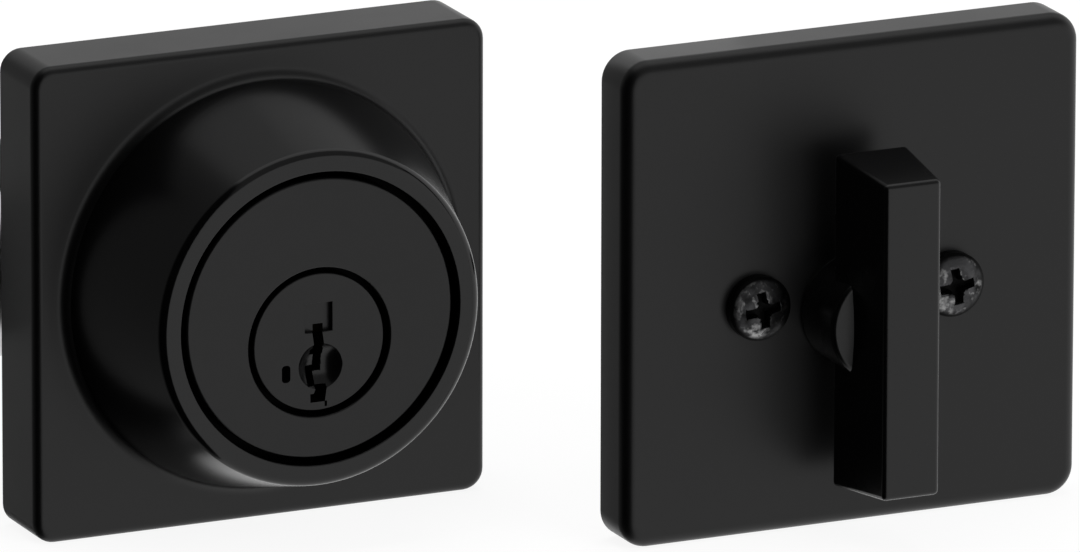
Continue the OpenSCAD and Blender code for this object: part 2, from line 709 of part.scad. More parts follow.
module latch_faceplate() color([0.08, 0.08, 0.085]) on_latch() difference() {
    along_bolt(-backset) linear_extrude(face_t) face_outline();
    for (side = [-1, 1]) translate([-backset - eps, side*face_screw_spacing/2, 0]) rotate([0, 90, 0]) {
        cylinder(d = face_screw_d, h = face_t + 2*eps);
        cylinder(d1 = face_screw_d + 2*face_sink, d2 = face_screw_d, h = face_sink);
    }
}

module latch_backplate() color([0.6, 0.6, 0.62]) on_latch() difference() {
    along_bolt(-backset + face_t) linear_extrude(back_t) face_outline();
    for (side = [-1, 1]) translate([-backset + face_t - eps, side*face_screw_spacing/2, 0])
        rotate([0, 90, 0]) cylinder(d = face_screw_d, h = back_t + 2*eps);
}

module latch_tube() color([0.68, 0.68, 0.7]) on_latch() difference() {
    translate([tube_front, 0, 0]) rotate([0, 90, 0]) difference() {
        cylinder(d = tube_d, h = tube_rear - tube_front);
        translate([0, 0, -eps]) cylinder(r = tube_inner_r, h = tube_rear - tube_front + 2*eps);
    }
    // Slots for the tabs of the case plates
    translate([tab_x - tab_l/2 - run_fit, -tab_w/2 - run_fit, -tube_d])
        cube([tab_l + 2*run_fit, tab_w + 2*run_fit, 2*tube_d]);
}

module at_rivets() {
    for (side = [-1, 1]) {
        rotate(90 + side*(90 - rivet_lift)) translate([rivet_ring_r, 0, 0]) children();
        translate([side*rivet_low[0], -rivet_low[1], 0]) children();
    }
}

// One plate of the case; its tongue runs into the tube and its tab hooks the tube's slot.
// The cylinder's posts pass through the two large holes.
module case_plate() difference() {
    union() {
        linear_extrude(case_t) {
            intersection() {
                circle(r = case_r);
                translate([tube_rear + 1, -case_drop]) square([2*case_r, case_drop + case_r]);
            }
            translate([tube_rear - tongue_in_tube, -case_tongue_h/2])
                square([tongue_in_tube - tube_rear - case_r + tongue_lap, case_tongue_h]);
        }
        translate([tab_x - tab_l/2, -tab_w/2, 0])
            cube([tab_l, tab_w, tube_d/2 - case_gap/2 - run_fit]);
    }
    translate([0, 0, -eps]) cylinder(d = journal_d + 2*run_fit, h = case_t + 2*eps);
    at_screws() translate([0, 0, -eps]) cylinder(d = post_d + 2*post_room, h = case_t + 2*eps);
    at_rivets() translate([0, 0, -eps]) cylinder(d = rivet_d + 2*run_fit, h = case_t + 2*eps);
}

module case_plate_outer() color([0.66, 0.66, 0.68]) on_latch()
    translate([0, 0, case_gap/2]) case_plate();

module case_plate_inner() color([0.66, 0.66, 0.68]) on_latch()
    mirror([0, 0, 1]) translate([0, 0, case_gap/2]) case_plate();

module case_rivets() color([0.7, 0.7, 0.72]) on_latch() at_rivets() {
    outer = case_gap/2 + case_t;
    translate([0, 0, -outer]) cylinder(d = rivet_d, h = 2*outer);
    translate([0, 0, -case_gap/2]) cylinder(d = rivet_d + 2*rivet_collar, h = case_gap);
    for (z = [-outer - rivet_head_t, outer]) translate([0, 0, z])
        cylinder(d = rivet_d + 2*rivet_collar, h = rivet_head_t);
}

module crank_hub() color([0.7, 0.68, 0.62]) on_latch() difference() {
    union() {
        translate([0, 0, -case_gap/2 + head_gap]) cylinder(d = hub_d, h = case_gap - 2*head_gap);
        translate([0, 0, -case_gap/2 - case_t]) cylinder(d = journal_d, h = case_gap + 2*case_t);
        rotate(crank_rest) {
            translate([0, 0, -arm_t/2]) linear_extrude(arm_t) {
                translate([0, -arm_w/2]) square([crank_r, arm_w]);
                translate([crank_r, 0]) circle(d = arm_w);
            }
            translate([crank_r, 0, 0]) cylinder(d = crank_pin_d, h = tail_z + tail_t + 1);
        }
    }
    translate([0, 0, -case_gap]) linear_extrude(2*case_gap)
        d_outline(blade_d + 2*blade_fit, blade_flat + blade_fit);
}

// Flat tail with a tongue in the bolt and a fork for the crank pin. The fork is relieved where
// it comes near the case's round back.
module bolt_tail() color([0.7, 0.7, 0.72]) on_latch() difference() {
    translate([0, 0, tail_z]) linear_extrude(tail_t) {
        translate([-bolt_rear - tongue_l, -tongue_drop])
            square([tongue_l + eps, tongue_drop + tongue_rise]);
        translate([-bolt_rear, -tongue_drop])
            square([bolt_rear + tongue_end, tongue_drop + tail_low + strip_h]);
        translate([tongue_end - eps, tail_low])
            square([pin_x - slot_half - prong_w - tongue_end + 2*eps, strip_h]);
        intersection() {
            difference() {
                translate([pin_x - slot_half - prong_w, tail_low])
                    square([2*(slot_half + prong_w), prong_top - tail_low]);
                translate([pin_x - slot_half, tail_low + strip_h])
                    square([2*slot_half, prong_top]);
            }
            circle(r = case_r - fork_room);
            translate([throw, 0]) circle(r = case_r - fork_room);
        }
    }
    translate([tail_rivet_x, 0, 0]) cylinder(d = tail_rivet_d + 2*run_fit, h = case_gap);
}

module dead_bolt() color([0.72, 0.72, 0.74]) on_latch() difference() {
    along_bolt(-backset) linear_extrude(backset - bolt_rear) round_rect(bolt_h, bolt_t, bolt_corner_r);
    // Chamfers round the bolt's nose
    for (side = [-1, 1]) {
        translate([-backset, side*bolt_h/2, 0]) rotate(45)
            cube([bolt_chamfer*sqrt(2), bolt_chamfer*sqrt(2), 2*bolt_t], center = true);
        translate([-backset, 0, side*bolt_t/2]) rotate([0, 45, 0])
            cube([bolt_chamfer*sqrt(2), 2*bolt_h, bolt_chamfer*sqrt(2)], center = true);
    }
    translate([-bolt_rear - tongue_l - run_fit, -bolt_h, tail_z - run_fit])
        cube([tongue_l + 1, 2*bolt_h, tail_t + 2*run_fit]);
    translate([-backset + roller_front, 0, roller_z]) rotate([0, 90, 0])
        cylinder(d = roller_d + 2*roller_fit, h = backset);
    translate([tail_rivet_x, 0, -bolt_t]) cylinder(d = tail_rivet_d + 2*run_fit, h = 2*bolt_t);
}

module bolt_roller() color([0.5, 0.5, 0.52]) on_latch()
    translate([-backset + roller_front + roller_fit, 0, roller_z - roller_fit]) rotate([0, 90, 0])
        cylinder(d = roller_d,
            h = backset + tail_rivet_x - tail_rivet_d/2 - roller_front - roller_fit - roller_end);

module tail_rivet() color([0.7, 0.7, 0.72]) on_latch()
    translate([tail_rivet_x, 0, -bolt_t/2]) cylinder(d = tail_rivet_d, h = bolt_t);

// Leaf spring that rests on the two lower rivets and bears on the crank hub
module detent_spring() color([0.7, 0.7, 0.72]) on_latch()
    translate([0, 0, -detent_w/2]) linear_extrude(detent_w) {
        end = rivet_low[0] + detent_past;
        low = -rivet_low[1] + rivet_d/2 + rivet_collar;
        hump = -hub_d/2 - detent_gap - detent_t;
        half = [[detent_ramp[1], hump], [detent_ramp[0], low], [end, low], [end, low + detent_t],
            [detent_ramp[0] - detent_gap, low + detent_t], [detent_ramp[1] - detent_gap, hump + detent_t]];
        polygon(concat(half, [for (i = [len(half) - 1:-1:0]) [-half[i][0], half[i][1]]]));
    }

exterior_housing();
cylinder_body();
cylinder_snap_ring();
key_plug();
plug_clip();
spring_cover();
side_bar();
side_bar_springs();
key_pin(0);  // key_pin_1
key_pin(1);  // key_pin_2
key_pin(2);  // key_pin_3
key_pin(3);  // key_pin_4
key_pin(4);  // key_pin_5
pin_spring(0);  // pin_spring_1
pin_spring(1);  // pin_spring_2
pin_spring(2);  // pin_spring_3
pin_spring(3);  // pin_spring_4
pin_spring(4);  // pin_spring_5
torque_blade();
blade_retainer();
interior_plate();
turn_piece();
spindle_bushing();
spring_washer();
retaining_ring();
mounting_screws();
latch_faceplate();
latch_backplate();
latch_tube();
case_plate_outer();
case_plate_inner();
case_rivets();
crank_hub();
bolt_tail();
dead_bolt();
bolt_roller();
tail_rivet();
detent_spring();
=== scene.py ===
import math

import bmesh
import bpy
from mathutils import Matrix, Vector


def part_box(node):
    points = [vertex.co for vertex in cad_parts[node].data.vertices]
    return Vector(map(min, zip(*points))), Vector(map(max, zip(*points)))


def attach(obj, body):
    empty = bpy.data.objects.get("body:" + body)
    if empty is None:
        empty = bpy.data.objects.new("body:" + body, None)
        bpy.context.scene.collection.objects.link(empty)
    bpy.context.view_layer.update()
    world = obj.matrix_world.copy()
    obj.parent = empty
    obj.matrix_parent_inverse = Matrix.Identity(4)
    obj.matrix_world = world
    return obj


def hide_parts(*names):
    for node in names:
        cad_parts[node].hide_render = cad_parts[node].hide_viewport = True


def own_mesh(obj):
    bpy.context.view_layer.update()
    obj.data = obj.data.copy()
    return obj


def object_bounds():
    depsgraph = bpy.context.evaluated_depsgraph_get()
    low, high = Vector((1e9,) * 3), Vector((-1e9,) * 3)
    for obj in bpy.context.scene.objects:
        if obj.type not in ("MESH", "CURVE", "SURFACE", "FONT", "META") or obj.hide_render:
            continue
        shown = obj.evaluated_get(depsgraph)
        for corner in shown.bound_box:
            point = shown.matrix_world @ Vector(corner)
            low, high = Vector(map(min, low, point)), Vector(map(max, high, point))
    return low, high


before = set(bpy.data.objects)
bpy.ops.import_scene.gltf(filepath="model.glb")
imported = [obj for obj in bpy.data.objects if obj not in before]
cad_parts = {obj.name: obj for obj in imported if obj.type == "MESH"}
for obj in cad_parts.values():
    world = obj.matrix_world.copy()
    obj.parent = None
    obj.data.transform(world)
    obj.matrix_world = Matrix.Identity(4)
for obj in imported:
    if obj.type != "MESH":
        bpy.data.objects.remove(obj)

cad_lowest, cad_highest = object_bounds()


# ---- The studio ---------------------------------------------------------------------------
# A white floor that runs on behind the lock, an even white sky and two soft lamps. Cards that
# only reflections meet shape what the coat mirrors: dark at the left and low down behind, pale
# and grey higher up behind and overhead, and two small ones between the halves.

MM = 0.001
YAW, PITCH, ROLL = 24.562, 15.909, 0.118
LENS = 584.7
FROM_PLATE = Vector((-0.9151, -2.0930, 0.6519))
HOUSING_FRONT = 11.5

housing_lowest, housing_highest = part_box("exterior_housing")
square_centre = (housing_lowest.z + housing_highest.z) / 2
plate_front = Vector((0, housing_highest.y - HOUSING_FRONT * MM, square_centre))

camera_data = bpy.data.cameras.new("camera")
camera_data.sensor_width = 36
camera_data.lens = LENS
camera_data.clip_end = 20
camera = bpy.data.objects.new("camera", camera_data)
camera.matrix_world = (
    Matrix.Translation(plate_front + FROM_PLATE)
    @ Matrix.Rotation(math.radians(-YAW), 4, "Z")
    @ Matrix.Rotation(math.radians(90 - PITCH), 4, "X")
    @ Matrix.Rotation(math.radians(ROLL), 4, "Z")
)
bpy.context.scene.collection.objects.link(camera)
bpy.context.scene.camera = camera
bpy.context.scene.view_settings.view_transform = "Standard"


class Value:
    """A shader value: reckoning with it adds the Math nodes that work it out."""

    def __init__(self, finish, socket):
        self.finish = finish
        self.socket = socket

    def reckon(self, operation, first, second):
        return self.finish.node("ShaderNodeMath", {"operation": operation}, {0: first, 1: second})

    def __add__(self, other):
        return self.reckon("ADD", self, other)

    def __mul__(self, other):
        return self.reckon("MULTIPLY", self, other)

    def __sub__(self, other):
        return self.reckon("SUBTRACT", self, other)

    def __rsub__(self, other):
        return self.reckon("SUBTRACT", other, self)

    __radd__ = __add__
    __rmul__ = __mul__


class Finish:
    """A material, or the world, as it is built up from nodes."""

    def __init__(self, name, owner=None):
        self.owner = owner or bpy.data.materials.new(name)
        self.owner.use_nodes = True
        self.tree = self.owner.node_tree
        self.tree.nodes.clear()

    def node(self, kind, settings=None, sockets=None, output=0):
        made = self.tree.nodes.new(kind)
        for name, value in (settings or {}).items():
            if name == "stops":
                self.set_stops(made.color_ramp, value)
            else:
                setattr(made, name, value)
        for name, value in (sockets or {}).items():
            if isinstance(value, Value):
                self.tree.links.new(value.socket, made.inputs[name])
            else:
                made.inputs[name].default_value = value
        return Value(self, made.outputs[output]) if len(made.outputs) else made

    def set_stops(self, ramp, stops):
        while len(ramp.elements) < len(stops):
            ramp.elements.new(0.5)
        for element, (place, level) in zip(ramp.elements, stops):
            element.position = place
            element.color = (level, level, level, 1)

    def surface(self, shader, output="ShaderNodeOutputMaterial"):
        self.node(output, {}, {"Surface": shader})
        return self.owner


def seen_rays(finish):
    """1 for the rays that should meet a white background, 0 for the light on the lock."""
    path = finish.node("ShaderNodeLightPath")
    rays = path.socket.node.outputs
    seen = Value(finish, rays["Is Camera Ray"]) + Value(finish, rays["Is Glossy Ray"])
    return seen + Value(finish, rays["Is Transmission Ray"])


WHITE = (1, 1, 1, 1)
SKY_LIGHT = 0.35
sky = Finish("sky", bpy.data.worlds.new("sky"))
bpy.context.scene.world = sky.owner
strength = seen_rays(sky) * (1 - SKY_LIGHT) + SKY_LIGHT
sky.surface(
    sky.node("ShaderNodeBackground", {}, {"Color": WHITE, "Strength": strength}),
    "ShaderNodeOutputWorld",
)


def sheet(name, corners, finish):
    """One four-cornered sheet of the studio, with its corners in millimetres."""
    flat = bmesh.new()
    flat.faces.new([flat.verts.new(Vector(corner) * MM) for corner in corners])
    data = bpy.data.meshes.new(name)
    flat.to_mesh(data)
    flat.free()
    made = bpy.data.objects.new(name, data)
    made.data.materials.append(finish)
    bpy.context.scene.collection.objects.link(made)
    return made


def level(z, left, right, front, back):
    """The corners of a sheet that lies level."""
    return [(left, front, z), (right, front, z), (right, back, z), (left, back, z)]


def upright(y, left, right, low, top):
    """The corners of a sheet that stands and faces the front."""
    return [(left, y, low), (right, y, low), (right, y, top), (left, y, top)]


FLOOR_GLOW = 0.9
FLOOR_TONE = (0.15, 0.15, 0.15, 1)
FLOOR_HALF = 6000
pale = Finish("pale_floor")
glow = pale.node(
    "ShaderNodeEmission", {}, {"Color": WHITE, "Strength": seen_rays(pale) * FLOOR_GLOW}
)
matt = pale.node("ShaderNodeBsdfDiffuse", {}, {"Color": FLOOR_TONE})
pale.surface(pale.node("ShaderNodeAddShader", {}, {0: glow, 1: matt}))
floor_corners = level(cad_lowest.z / MM, -FLOOR_HALF, FLOOR_HALF, -FLOOR_HALF, FLOOR_HALF)
sheet("floor", floor_corners, pale.owner).visible_glossy = False


def object_place(finish):
    """Where each point lies on its piece, in metres."""
    return finish.node("ShaderNodeTexCoord", {}, {}, "Object")


def card(name, corners, tone):
    """A card that only reflections meet. Its tone is one level, or levels along y."""
    finish = Finish(name)
    if isinstance(tone, dict):
        front, back = min(tone), max(tone)
        along = finish.node(
            "ShaderNodeSeparateXYZ", {}, {"Vector": object_place(finish)}, "Y"
        )
        share = finish.node(
            "ShaderNodeMapRange",
            {},
            {"Value": along, "From Min": front * MM, "From Max": back * MM},
        )
        stops = [((y - front) / (back - front), shade) for y, shade in sorted(tone.items())]
        colour = finish.node("ShaderNodeValToRGB", {"stops": stops}, {"Fac": share})
    else:
        colour = (tone, tone, tone, 1)
    shine = finish.node("ShaderNodeEmission", {}, {"Color": colour, "Strength": 1.0})
    made = sheet(name, corners, finish.surface(shine))
    made.visible_camera = False
    made.visible_diffuse = False
    made.visible_shadow = False


SIDE_X, SIDE_LOW, SIDE_TOP = -143, -700, 400
# The side card's levels from front to back
SIDE_TONES = {
    -700: 0.25,
    -560: 0.02,
    -480: 0.0,
    -40: 0.0,
    0: 0.08,
    60: 0.15,
    150: 0.17,
    240: 0.21,
    600: 0.2,
}
SIDE_FRONT, SIDE_BACK = min(SIDE_TONES), max(SIDE_TONES)
SIDE_CORNERS = [
    (SIDE_X, SIDE_BACK, SIDE_LOW),
    (SIDE_X, SIDE_FRONT, SIDE_LOW),
    (SIDE_X, SIDE_FRONT, SIDE_TOP),
    (SIDE_X, SIDE_BACK, SIDE_TOP),
]
BACK_Y = 600
OVER_Z = 450
for name, corners, tone in (
    ("side_card", SIDE_CORNERS, SIDE_TONES),
    ("dark_corner_card", upright(BACK_Y, -1500, 0, -1500, -250), 0.05),
    ("low_left_card", upright(BACK_Y, -400, 310, 60, 340), 0.76),
    ("low_right_card", upright(BACK_Y, 310, 1500, 60, 340), 1.0),
    ("high_left_card", upright(BACK_Y, -1200, 250, 340, 1100), 0.34),
    ("high_right_card", upright(BACK_Y, 250, 1500, 340, 1100), 0.45),
    ("over_card", level(OVER_Z, -500, 1100, -1100, -120), 0.3),
    ("white_bounce_card", upright(-35.0, 25, 60, -60, 45), 1.0),
    ("grey_bounce_card", upright(-35.2, 25, 37, -60, 45), 0.2),
):
    card(name, corners, tone)

LAMP_WATTS = 6
middle = (cad_lowest + cad_highest) / 2
for name, from_middle, side in (
    ("front_lamp", (0.5, -1.1, 0.6), 0.7),
    ("top_lamp", (0, 0.2, 1.2), 0.9),
):
    lamp_data = bpy.data.lights.new(name, "AREA")
    lamp_data.size = side
    lamp_data.energy = LAMP_WATTS
    lamp = bpy.data.objects.new(name, lamp_data)
    lamp.location = middle + Vector(from_middle)
    lamp.rotation_mode = "QUATERNION"
    lamp.rotation_quaternion = (middle - lamp.location).to_track_quat("-Z", "Y")
    lamp.visible_glossy = False
    bpy.context.scene.collection.objects.link(lamp)


# ---- Exterior housing -----------------------------------------------------------------------
# A square die-cast shell with a tapered round boss, sprayed satin black. It is open at the back,
# stiffened by four ribs, and a lip inside the rim keeps the cylinder from coming out.

HOUSING_SIDE = 66.7
HOUSING_CORNER = 3
HOUSING_EDGE = 1.25
HOUSING_WALL = 2.4
POCKET_FRONT = 9.1
BOSS_FOOT = 28.8
FOOT_BRIM = 2
FOOT_FILLET = 1.3
BOSS_RIM = 23.25
RIM_FRONT = 31.5
RIM_EDGE = 1.0
MOUTH = 20.45
MOUTH_EDGE = 0.2
SEAT = 26.5
CAVITY = 21.5
RING_GROOVE = 22.0
GROOVE_FRONT = 22.52
GROOVE_BACK = 21.48
CORE_TOP = 20.1
CORE_FOOT = 26.5
RIB = 1.6
RIB_REACH = 7
RIB_SINK = 0.4
AXIS_DROP = square_centre / MM
TURNS = 128
CREASE = 32
WELD = 1e-4
SAME_HEIGHT = 1e-3
SAME_PLACE = 2e-3


def facing(x, y, z):
    """The frame of a half that faces the front: x right, y up and z outwards, in millimetres."""
    return Matrix(((MM, 0, 0, x), (0, 0, -MM, y), (0, MM, 0, z), (0, 0, 0, 1)))


EXTERIOR = facing(0, housing_highest.y, 0)


def sharp_edges(mesh, angle=30):
    bend = math.radians(angle)
    return [
        edge
        for edge in mesh.edges
        if len(edge.link_faces) == 2 and edge.calc_face_angle(0) > bend
    ]


def ring(mesh, radius, height, centre=(0, 0)):
    """The sharp edges on one circle of a turned surface."""

    def on_circle(place):
        off = math.hypot(place.x - centre[0], place.y - centre[1]) - radius
        return abs(off) < SAME_PLACE and abs(place.z - height) < SAME_PLACE

    return [
        edge
        for edge in sharp_edges(mesh, angle=15)
        if on_circle(edge.verts[0].co) and on_circle(edge.verts[1].co)
    ]


def rounded(mesh, edges, width, segments):
    bmesh.ops.bevel(
        mesh,
        geom=edges,
        offset=width,
        segments=segments,
        profile=0.5,
        affect="EDGES",
        material=-1,
        clamp_overlap=True,
    )


def turned(mesh, profile, centre=(0, 0)):
    """Spin a profile of radii and heights round an upright axis into a skin."""
    verts = [mesh.verts.new((centre[0] + radius, centre[1], height)) for radius, height in profile]
    edges = [mesh.edges.new(pair) for pair in zip(verts, verts[1:])]
    bmesh.ops.spin(
        mesh,
        geom=verts + edges,
        cent=(centre[0], centre[1], 0),
        axis=(0, 0, 1),
        angle=math.tau,
        steps=TURNS,
        use_merge=True,
    )
    bmesh.ops.remove_doubles(mesh, verts=mesh.verts, dist=WELD)


def all_at(verts, height):
    return all(abs(vert.co.z - height) < SAME_HEIGHT for vert in verts)


def close_flat(mesh, height):
    """Fill the flat between the open edges that lie at one height."""
    rims = [edge for edge in mesh.edges if edge.is_boundary and all_at(edge.verts, height)]
    bmesh.ops.triangle_fill(mesh, edges=rims, use_beauty=True, normal=(0, 0, 1))


def block(mesh, low, high):
    """A closed rectangular block between two corners."""
    low, high = Vector(low), Vector(high)
    made = bmesh.ops.create_cube(mesh, size=1)["verts"]
    bmesh.ops.scale(mesh, vec=high - low, verts=made)
    bmesh.ops.translate(mesh, vec=(low + high) / 2, verts=made)
    return made


def ends_at(mesh, kept, height):
    """The new faces that lie wholly at one height."""
    return [face for face in mesh.faces if face not in kept and all_at(face.verts, height)]


def square_wall(mesh, side, corner, front, front_edge=0):
    """A square wall with round corners, open at both ends. Its front edge may be rolled."""
    half = side / 2
    kept = set(mesh.faces)
    made = block(mesh, (-half, -half, 0), (half, half, front))
    uprights = [
        edge
        for edge in mesh.edges
        if edge.verts[0] in made and not all_at(edge.verts, edge.verts[0].co.z)
    ]
    rounded(mesh, uprights, corner, segments=8)
    if front_edge:
        rims = [edge for face in ends_at(mesh, kept, front) for edge in face.edges]
        rounded(mesh, rims, front_edge, segments=6)
    ends = ends_at(mesh, kept, front) + ends_at(mesh, kept, 0)
    bmesh.ops.delete(mesh, geom=ends, context="FACES_ONLY")


def piece(name, node, mesh, frame_matrix, body, slot, finish=None):
    """Put a finished mesh in its place, hide the CAD node that it stands for, hang it on its body
    and give it its finish.
    """
    bmesh.ops.recalc_face_normals(mesh, faces=mesh.faces)
    bmesh.ops.transform(mesh, matrix=frame_matrix, verts=mesh.verts)
    data = bpy.data.meshes.new(name)
    mesh.to_mesh(data)
    mesh.free()
    data.polygons.foreach_set("use_smooth", [True] * len(data.polygons))
    data.set_sharp_from_angle(angle=math.radians(CREASE))
    made = bpy.data.objects.new(name, data)
    made.data.materials.append(finishes[finish or slot])
    bpy.context.scene.collection.objects.link(made)
    made.modifiers.new("even_normals", "WEIGHTED_NORMAL").keep_sharp = True
    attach(made, body)
    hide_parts(node)
    return made


COAT_TONE = (0.0015, 0.0015, 0.0016, 1)
COAT_GLOSS = 0.36
COAT_ROUGHNESS = 0.345
BOSS_SMOOTHER = 0.13
RIM_SMOOTHER = 0.1
PEEL_SCALE = 2600.0
SHEEN_SCALE = 90.0
SHEEN_SPREAD = 0.06
FINE_RELIEF = 0.05
# Where the coat changes over, from one distance outwards or round the axis to another; the mouth's
# ranges bound its painted shade
BOSS_START = (HOUSING_FRONT + 0.6, HOUSING_FRONT + 1.3)
RUBBED_FRONT = (RIM_FRONT - 1.1, RIM_FRONT - 0.8)
RUBBED_AROUND = (22.0, 22.4)
MOUTH_SHADE_AROUND = (MOUTH + 0.1, MOUTH + 0.2)
MOUTH_SHADE_FRONT = (RIM_FRONT - 0.8, RIM_FRONT - 0.3)


def noise(finish, place, scale, detail):
    sockets = {"Vector": place, "Scale": scale, "Detail": detail}
    return finish.node("ShaderNodeTexNoise", {}, sockets)


def outwards(finish, place):
    """How far each point stands out towards the front."""
    return finish.node("ShaderNodeSeparateXYZ", {}, {"Vector": place}, "Y") * -1


def arm_length(finish, place, centre_z):
    """How far each point stands from an axis that runs front to back at a height."""
    sockets = {"Vector": place, "Location": (0, 0, -centre_z), "Scale": (1, 0, 1)}
    arm = finish.node("ShaderNodeMapping", {}, sockets)
    return finish.node("ShaderNodeVectorMath", {"operation": "LENGTH"}, {0: arm}, "Value")


def spread(finish, value, low, high):
    """0 up to one value in millimetres, 1 from another on, and a ramp between them."""
    sockets = {"Value": value, "From Min": low * MM, "From Max": high * MM}
    return finish.node("ShaderNodeMapRange", {}, sockets)


def skin(finish, relief, strength, sockets, depth=0.05):
    """The finished surface, with a relief of this depth in millimetres."""
    bump = finish.node(
        "ShaderNodeBump", {}, {"Height": relief, "Strength": strength, "Distance": depth * MM}
    )
    return finish.surface(
        finish.node("ShaderNodeBsdfPrincipled", {}, {**sockets, "Normal": bump})
    )


def sprayed_black(name, roughness, smoother=0.0):
    """Satin black coat with a fine peel. On a boss it is smoother. Inside the mouth it turns
    metallic, so the black renders with no reflection: painted shade.
    """
    coat = Finish(name)
    place = object_place(coat)
    peel = noise(coat, place, PEEL_SCALE, detail=2.0)
    rough = noise(coat, place, SHEEN_SCALE, detail=3.0) * SHEEN_SPREAD + roughness
    metallic = 0.0
    if smoother:
        around = arm_length(coat, place, square_centre)
        out = outwards(coat, place)
        rubbed = spread(coat, out, *RUBBED_FRONT) * spread(coat, around, *RUBBED_AROUND)
        rough = rough - spread(coat, out, *BOSS_START) * smoother - rubbed * RIM_SMOOTHER
        # painted shade: inside the mouth of the rim the coat turns metallic and renders dead black
        painted_gap_shade = 1 - spread(coat, around, *MOUTH_SHADE_AROUND)
        metallic = painted_gap_shade * (1 - spread(coat, out, *MOUTH_SHADE_FRONT))
    return skin(
        coat,
        peel,
        FINE_RELIEF,
        {
            "Base Color": COAT_TONE,
            "Metallic": metallic,
            "Roughness": rough,
            "Specular IOR Level": COAT_GLOSS,
        },
    )


finishes = {"boss_coat": sprayed_black("boss_coat", COAT_ROUGHNESS, BOSS_SMOOTHER)}

shell = bmesh.new()
square_wall(shell, HOUSING_SIDE, HOUSING_CORNER, HOUSING_FRONT, HOUSING_EDGE)
square_wall(shell, HOUSING_SIDE - 2 * HOUSING_WALL, HOUSING_CORNER / 2, POCKET_FRONT)
turned(
    shell,
    [
        (BOSS_FOOT + FOOT_BRIM, HOUSING_FRONT),
        (BOSS_FOOT, HOUSING_FRONT),
        (BOSS_RIM, RIM_FRONT),
        (MOUTH, RIM_FRONT),
        (MOUTH, SEAT),
        (CAVITY, SEAT),
        (CAVITY, GROOVE_FRONT),
        (RING_GROOVE, GROOVE_FRONT),
        (RING_GROOVE, GROOVE_BACK),
        (CAVITY, GROOVE_BACK),
        (CAVITY, CORE_TOP),
        (CORE_FOOT, POCKET_FRONT),
    ],
)
rounded(shell, ring(shell, BOSS_FOOT, HOUSING_FRONT), FOOT_FILLET, segments=8)
rounded(shell, ring(shell, BOSS_RIM, RIM_FRONT), RIM_EDGE, segments=8)
rounded(shell, ring(shell, MOUTH, RIM_FRONT), MOUTH_EDGE, segments=4)
for height in (HOUSING_FRONT, POCKET_FRONT, 0):
    close_flat(shell, height)
inner = HOUSING_SIDE / 2 - HOUSING_WALL
for turn in range(4):
    rib = block(
        shell,
        (-RIB / 2, inner - RIB_REACH, HOUSING_WALL),
        (RIB / 2, inner + RIB_SINK, POCKET_FRONT + RIB_SINK),
    )
    quarter = Matrix.Rotation(math.radians(90 * turn), 3, "Z")
    bmesh.ops.rotate(shell, cent=(0, 0, 0), matrix=quarter, verts=rib)
bmesh.ops.translate(shell, vec=(0, AXIS_DROP, 0), verts=shell.verts)
piece(
    "exterior_shell", "exterior_housing", shell, EXTERIOR, "lock_set", "black_coat", "boss_coat"
)


# ---- Cylinder body --------------------------------------------------------------------------
# The die-cast cylinder: a round face with the plug's hole below its centre, the barrel, and two
# posts that the mounting screws bite into. Its black is a little smoother, and in the gaps round
# the face and the plug it is painted dead black as shade.

FACE_FRONT = 31.0
# A CAD_ radius finds a round wall in the CAD's mesh, and the plain one is what it is brought to
CAD_FACE_RADIUS = 19.45
FACE_RADIUS = 19.5
FACE_EDGE = 0.4
CAD_PLUG_HOLE = 10.5
PLUG_HOLE = 10.4
PLUG_HOLE_EDGE = 0.25
POST_X, POST_Y = 14.5, 1.7
POST_REACH = 26
POST_RADIUS = 3.6
POST_EDGE = 0.5
POST_HOLE = 1.75
POST_HOLE_EDGE = 0.3
POST_HOLE_DEPTH = 22
THREAD_LEAD = 0.6
THREAD_PITCH = 0.8
THREAD_HEIGHT = 0.28
THREAD_HALF = THREAD_PITCH * 0.42
THREAD_SINK = 0.02
THREAD_STEPS = 24
CYLINDER_GLOSS = 0.34
CYLINDER_ROUGHNESS = 0.26
RUB_SCALE = 500.0
RUB_SPREAD = 0.12
# The gaps round the face and the plug, outside of a radius and between two heights, that get
# painted shade
GAP_SHADE_AROUND = (9.2, 9.3)
GAP_SHADE_BACK = (25.9, 26)
GAP_SHADE_FRONT = (30.2, 30.5)
HOLLOW_SMOOTHER = 0.09
CAD_WELD = 1e-3
CAD_FLAT = 0.5


def copy_of(name, frame_matrix):
    """A CAD node's mesh, joined up, with its flats whole again, in the frame given."""
    mesh = bmesh.new()
    mesh.from_mesh(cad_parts[name].data)
    bmesh.ops.transform(mesh, matrix=frame_matrix.inverted(), verts=mesh.verts)
    bmesh.ops.remove_doubles(mesh, verts=mesh.verts, dist=CAD_WELD)
    bmesh.ops.dissolve_limit(
        mesh, angle_limit=math.radians(CAD_FLAT), verts=mesh.verts, edges=mesh.edges
    )
    return mesh


def swell(mesh, radius, true_radius):
    """Bring the round wall of one radius about the frame's axis to its true radius."""
    share = true_radius / radius
    wall = [vert for vert in mesh.verts if abs(vert.co.xy.length - radius) < SAME_PLACE]
    bmesh.ops.scale(mesh, vec=(share, share, 1), verts=wall)


def section(mesh, corners):
    """The closed outline of a ring's or a ridge's section, as its points and edges."""
    verts = [mesh.verts.new(corner) for corner in corners]
    return verts + [mesh.edges.new(pair) for pair in zip(verts, verts[1:] + verts[:1])]


def cap_ends(mesh):
    bmesh.ops.remove_doubles(mesh, verts=mesh.verts, dist=WELD)
    bmesh.ops.holes_fill(mesh, edges=[edge for edge in mesh.edges if edge.is_boundary], sides=0)


def add_to(mesh, other):
    """Put a finished mesh into another one as a solid of its own."""
    carrier = bpy.data.meshes.new("carrier")
    other.to_mesh(carrier)
    other.free()
    mesh.from_mesh(carrier)
    bpy.data.meshes.remove(carrier)


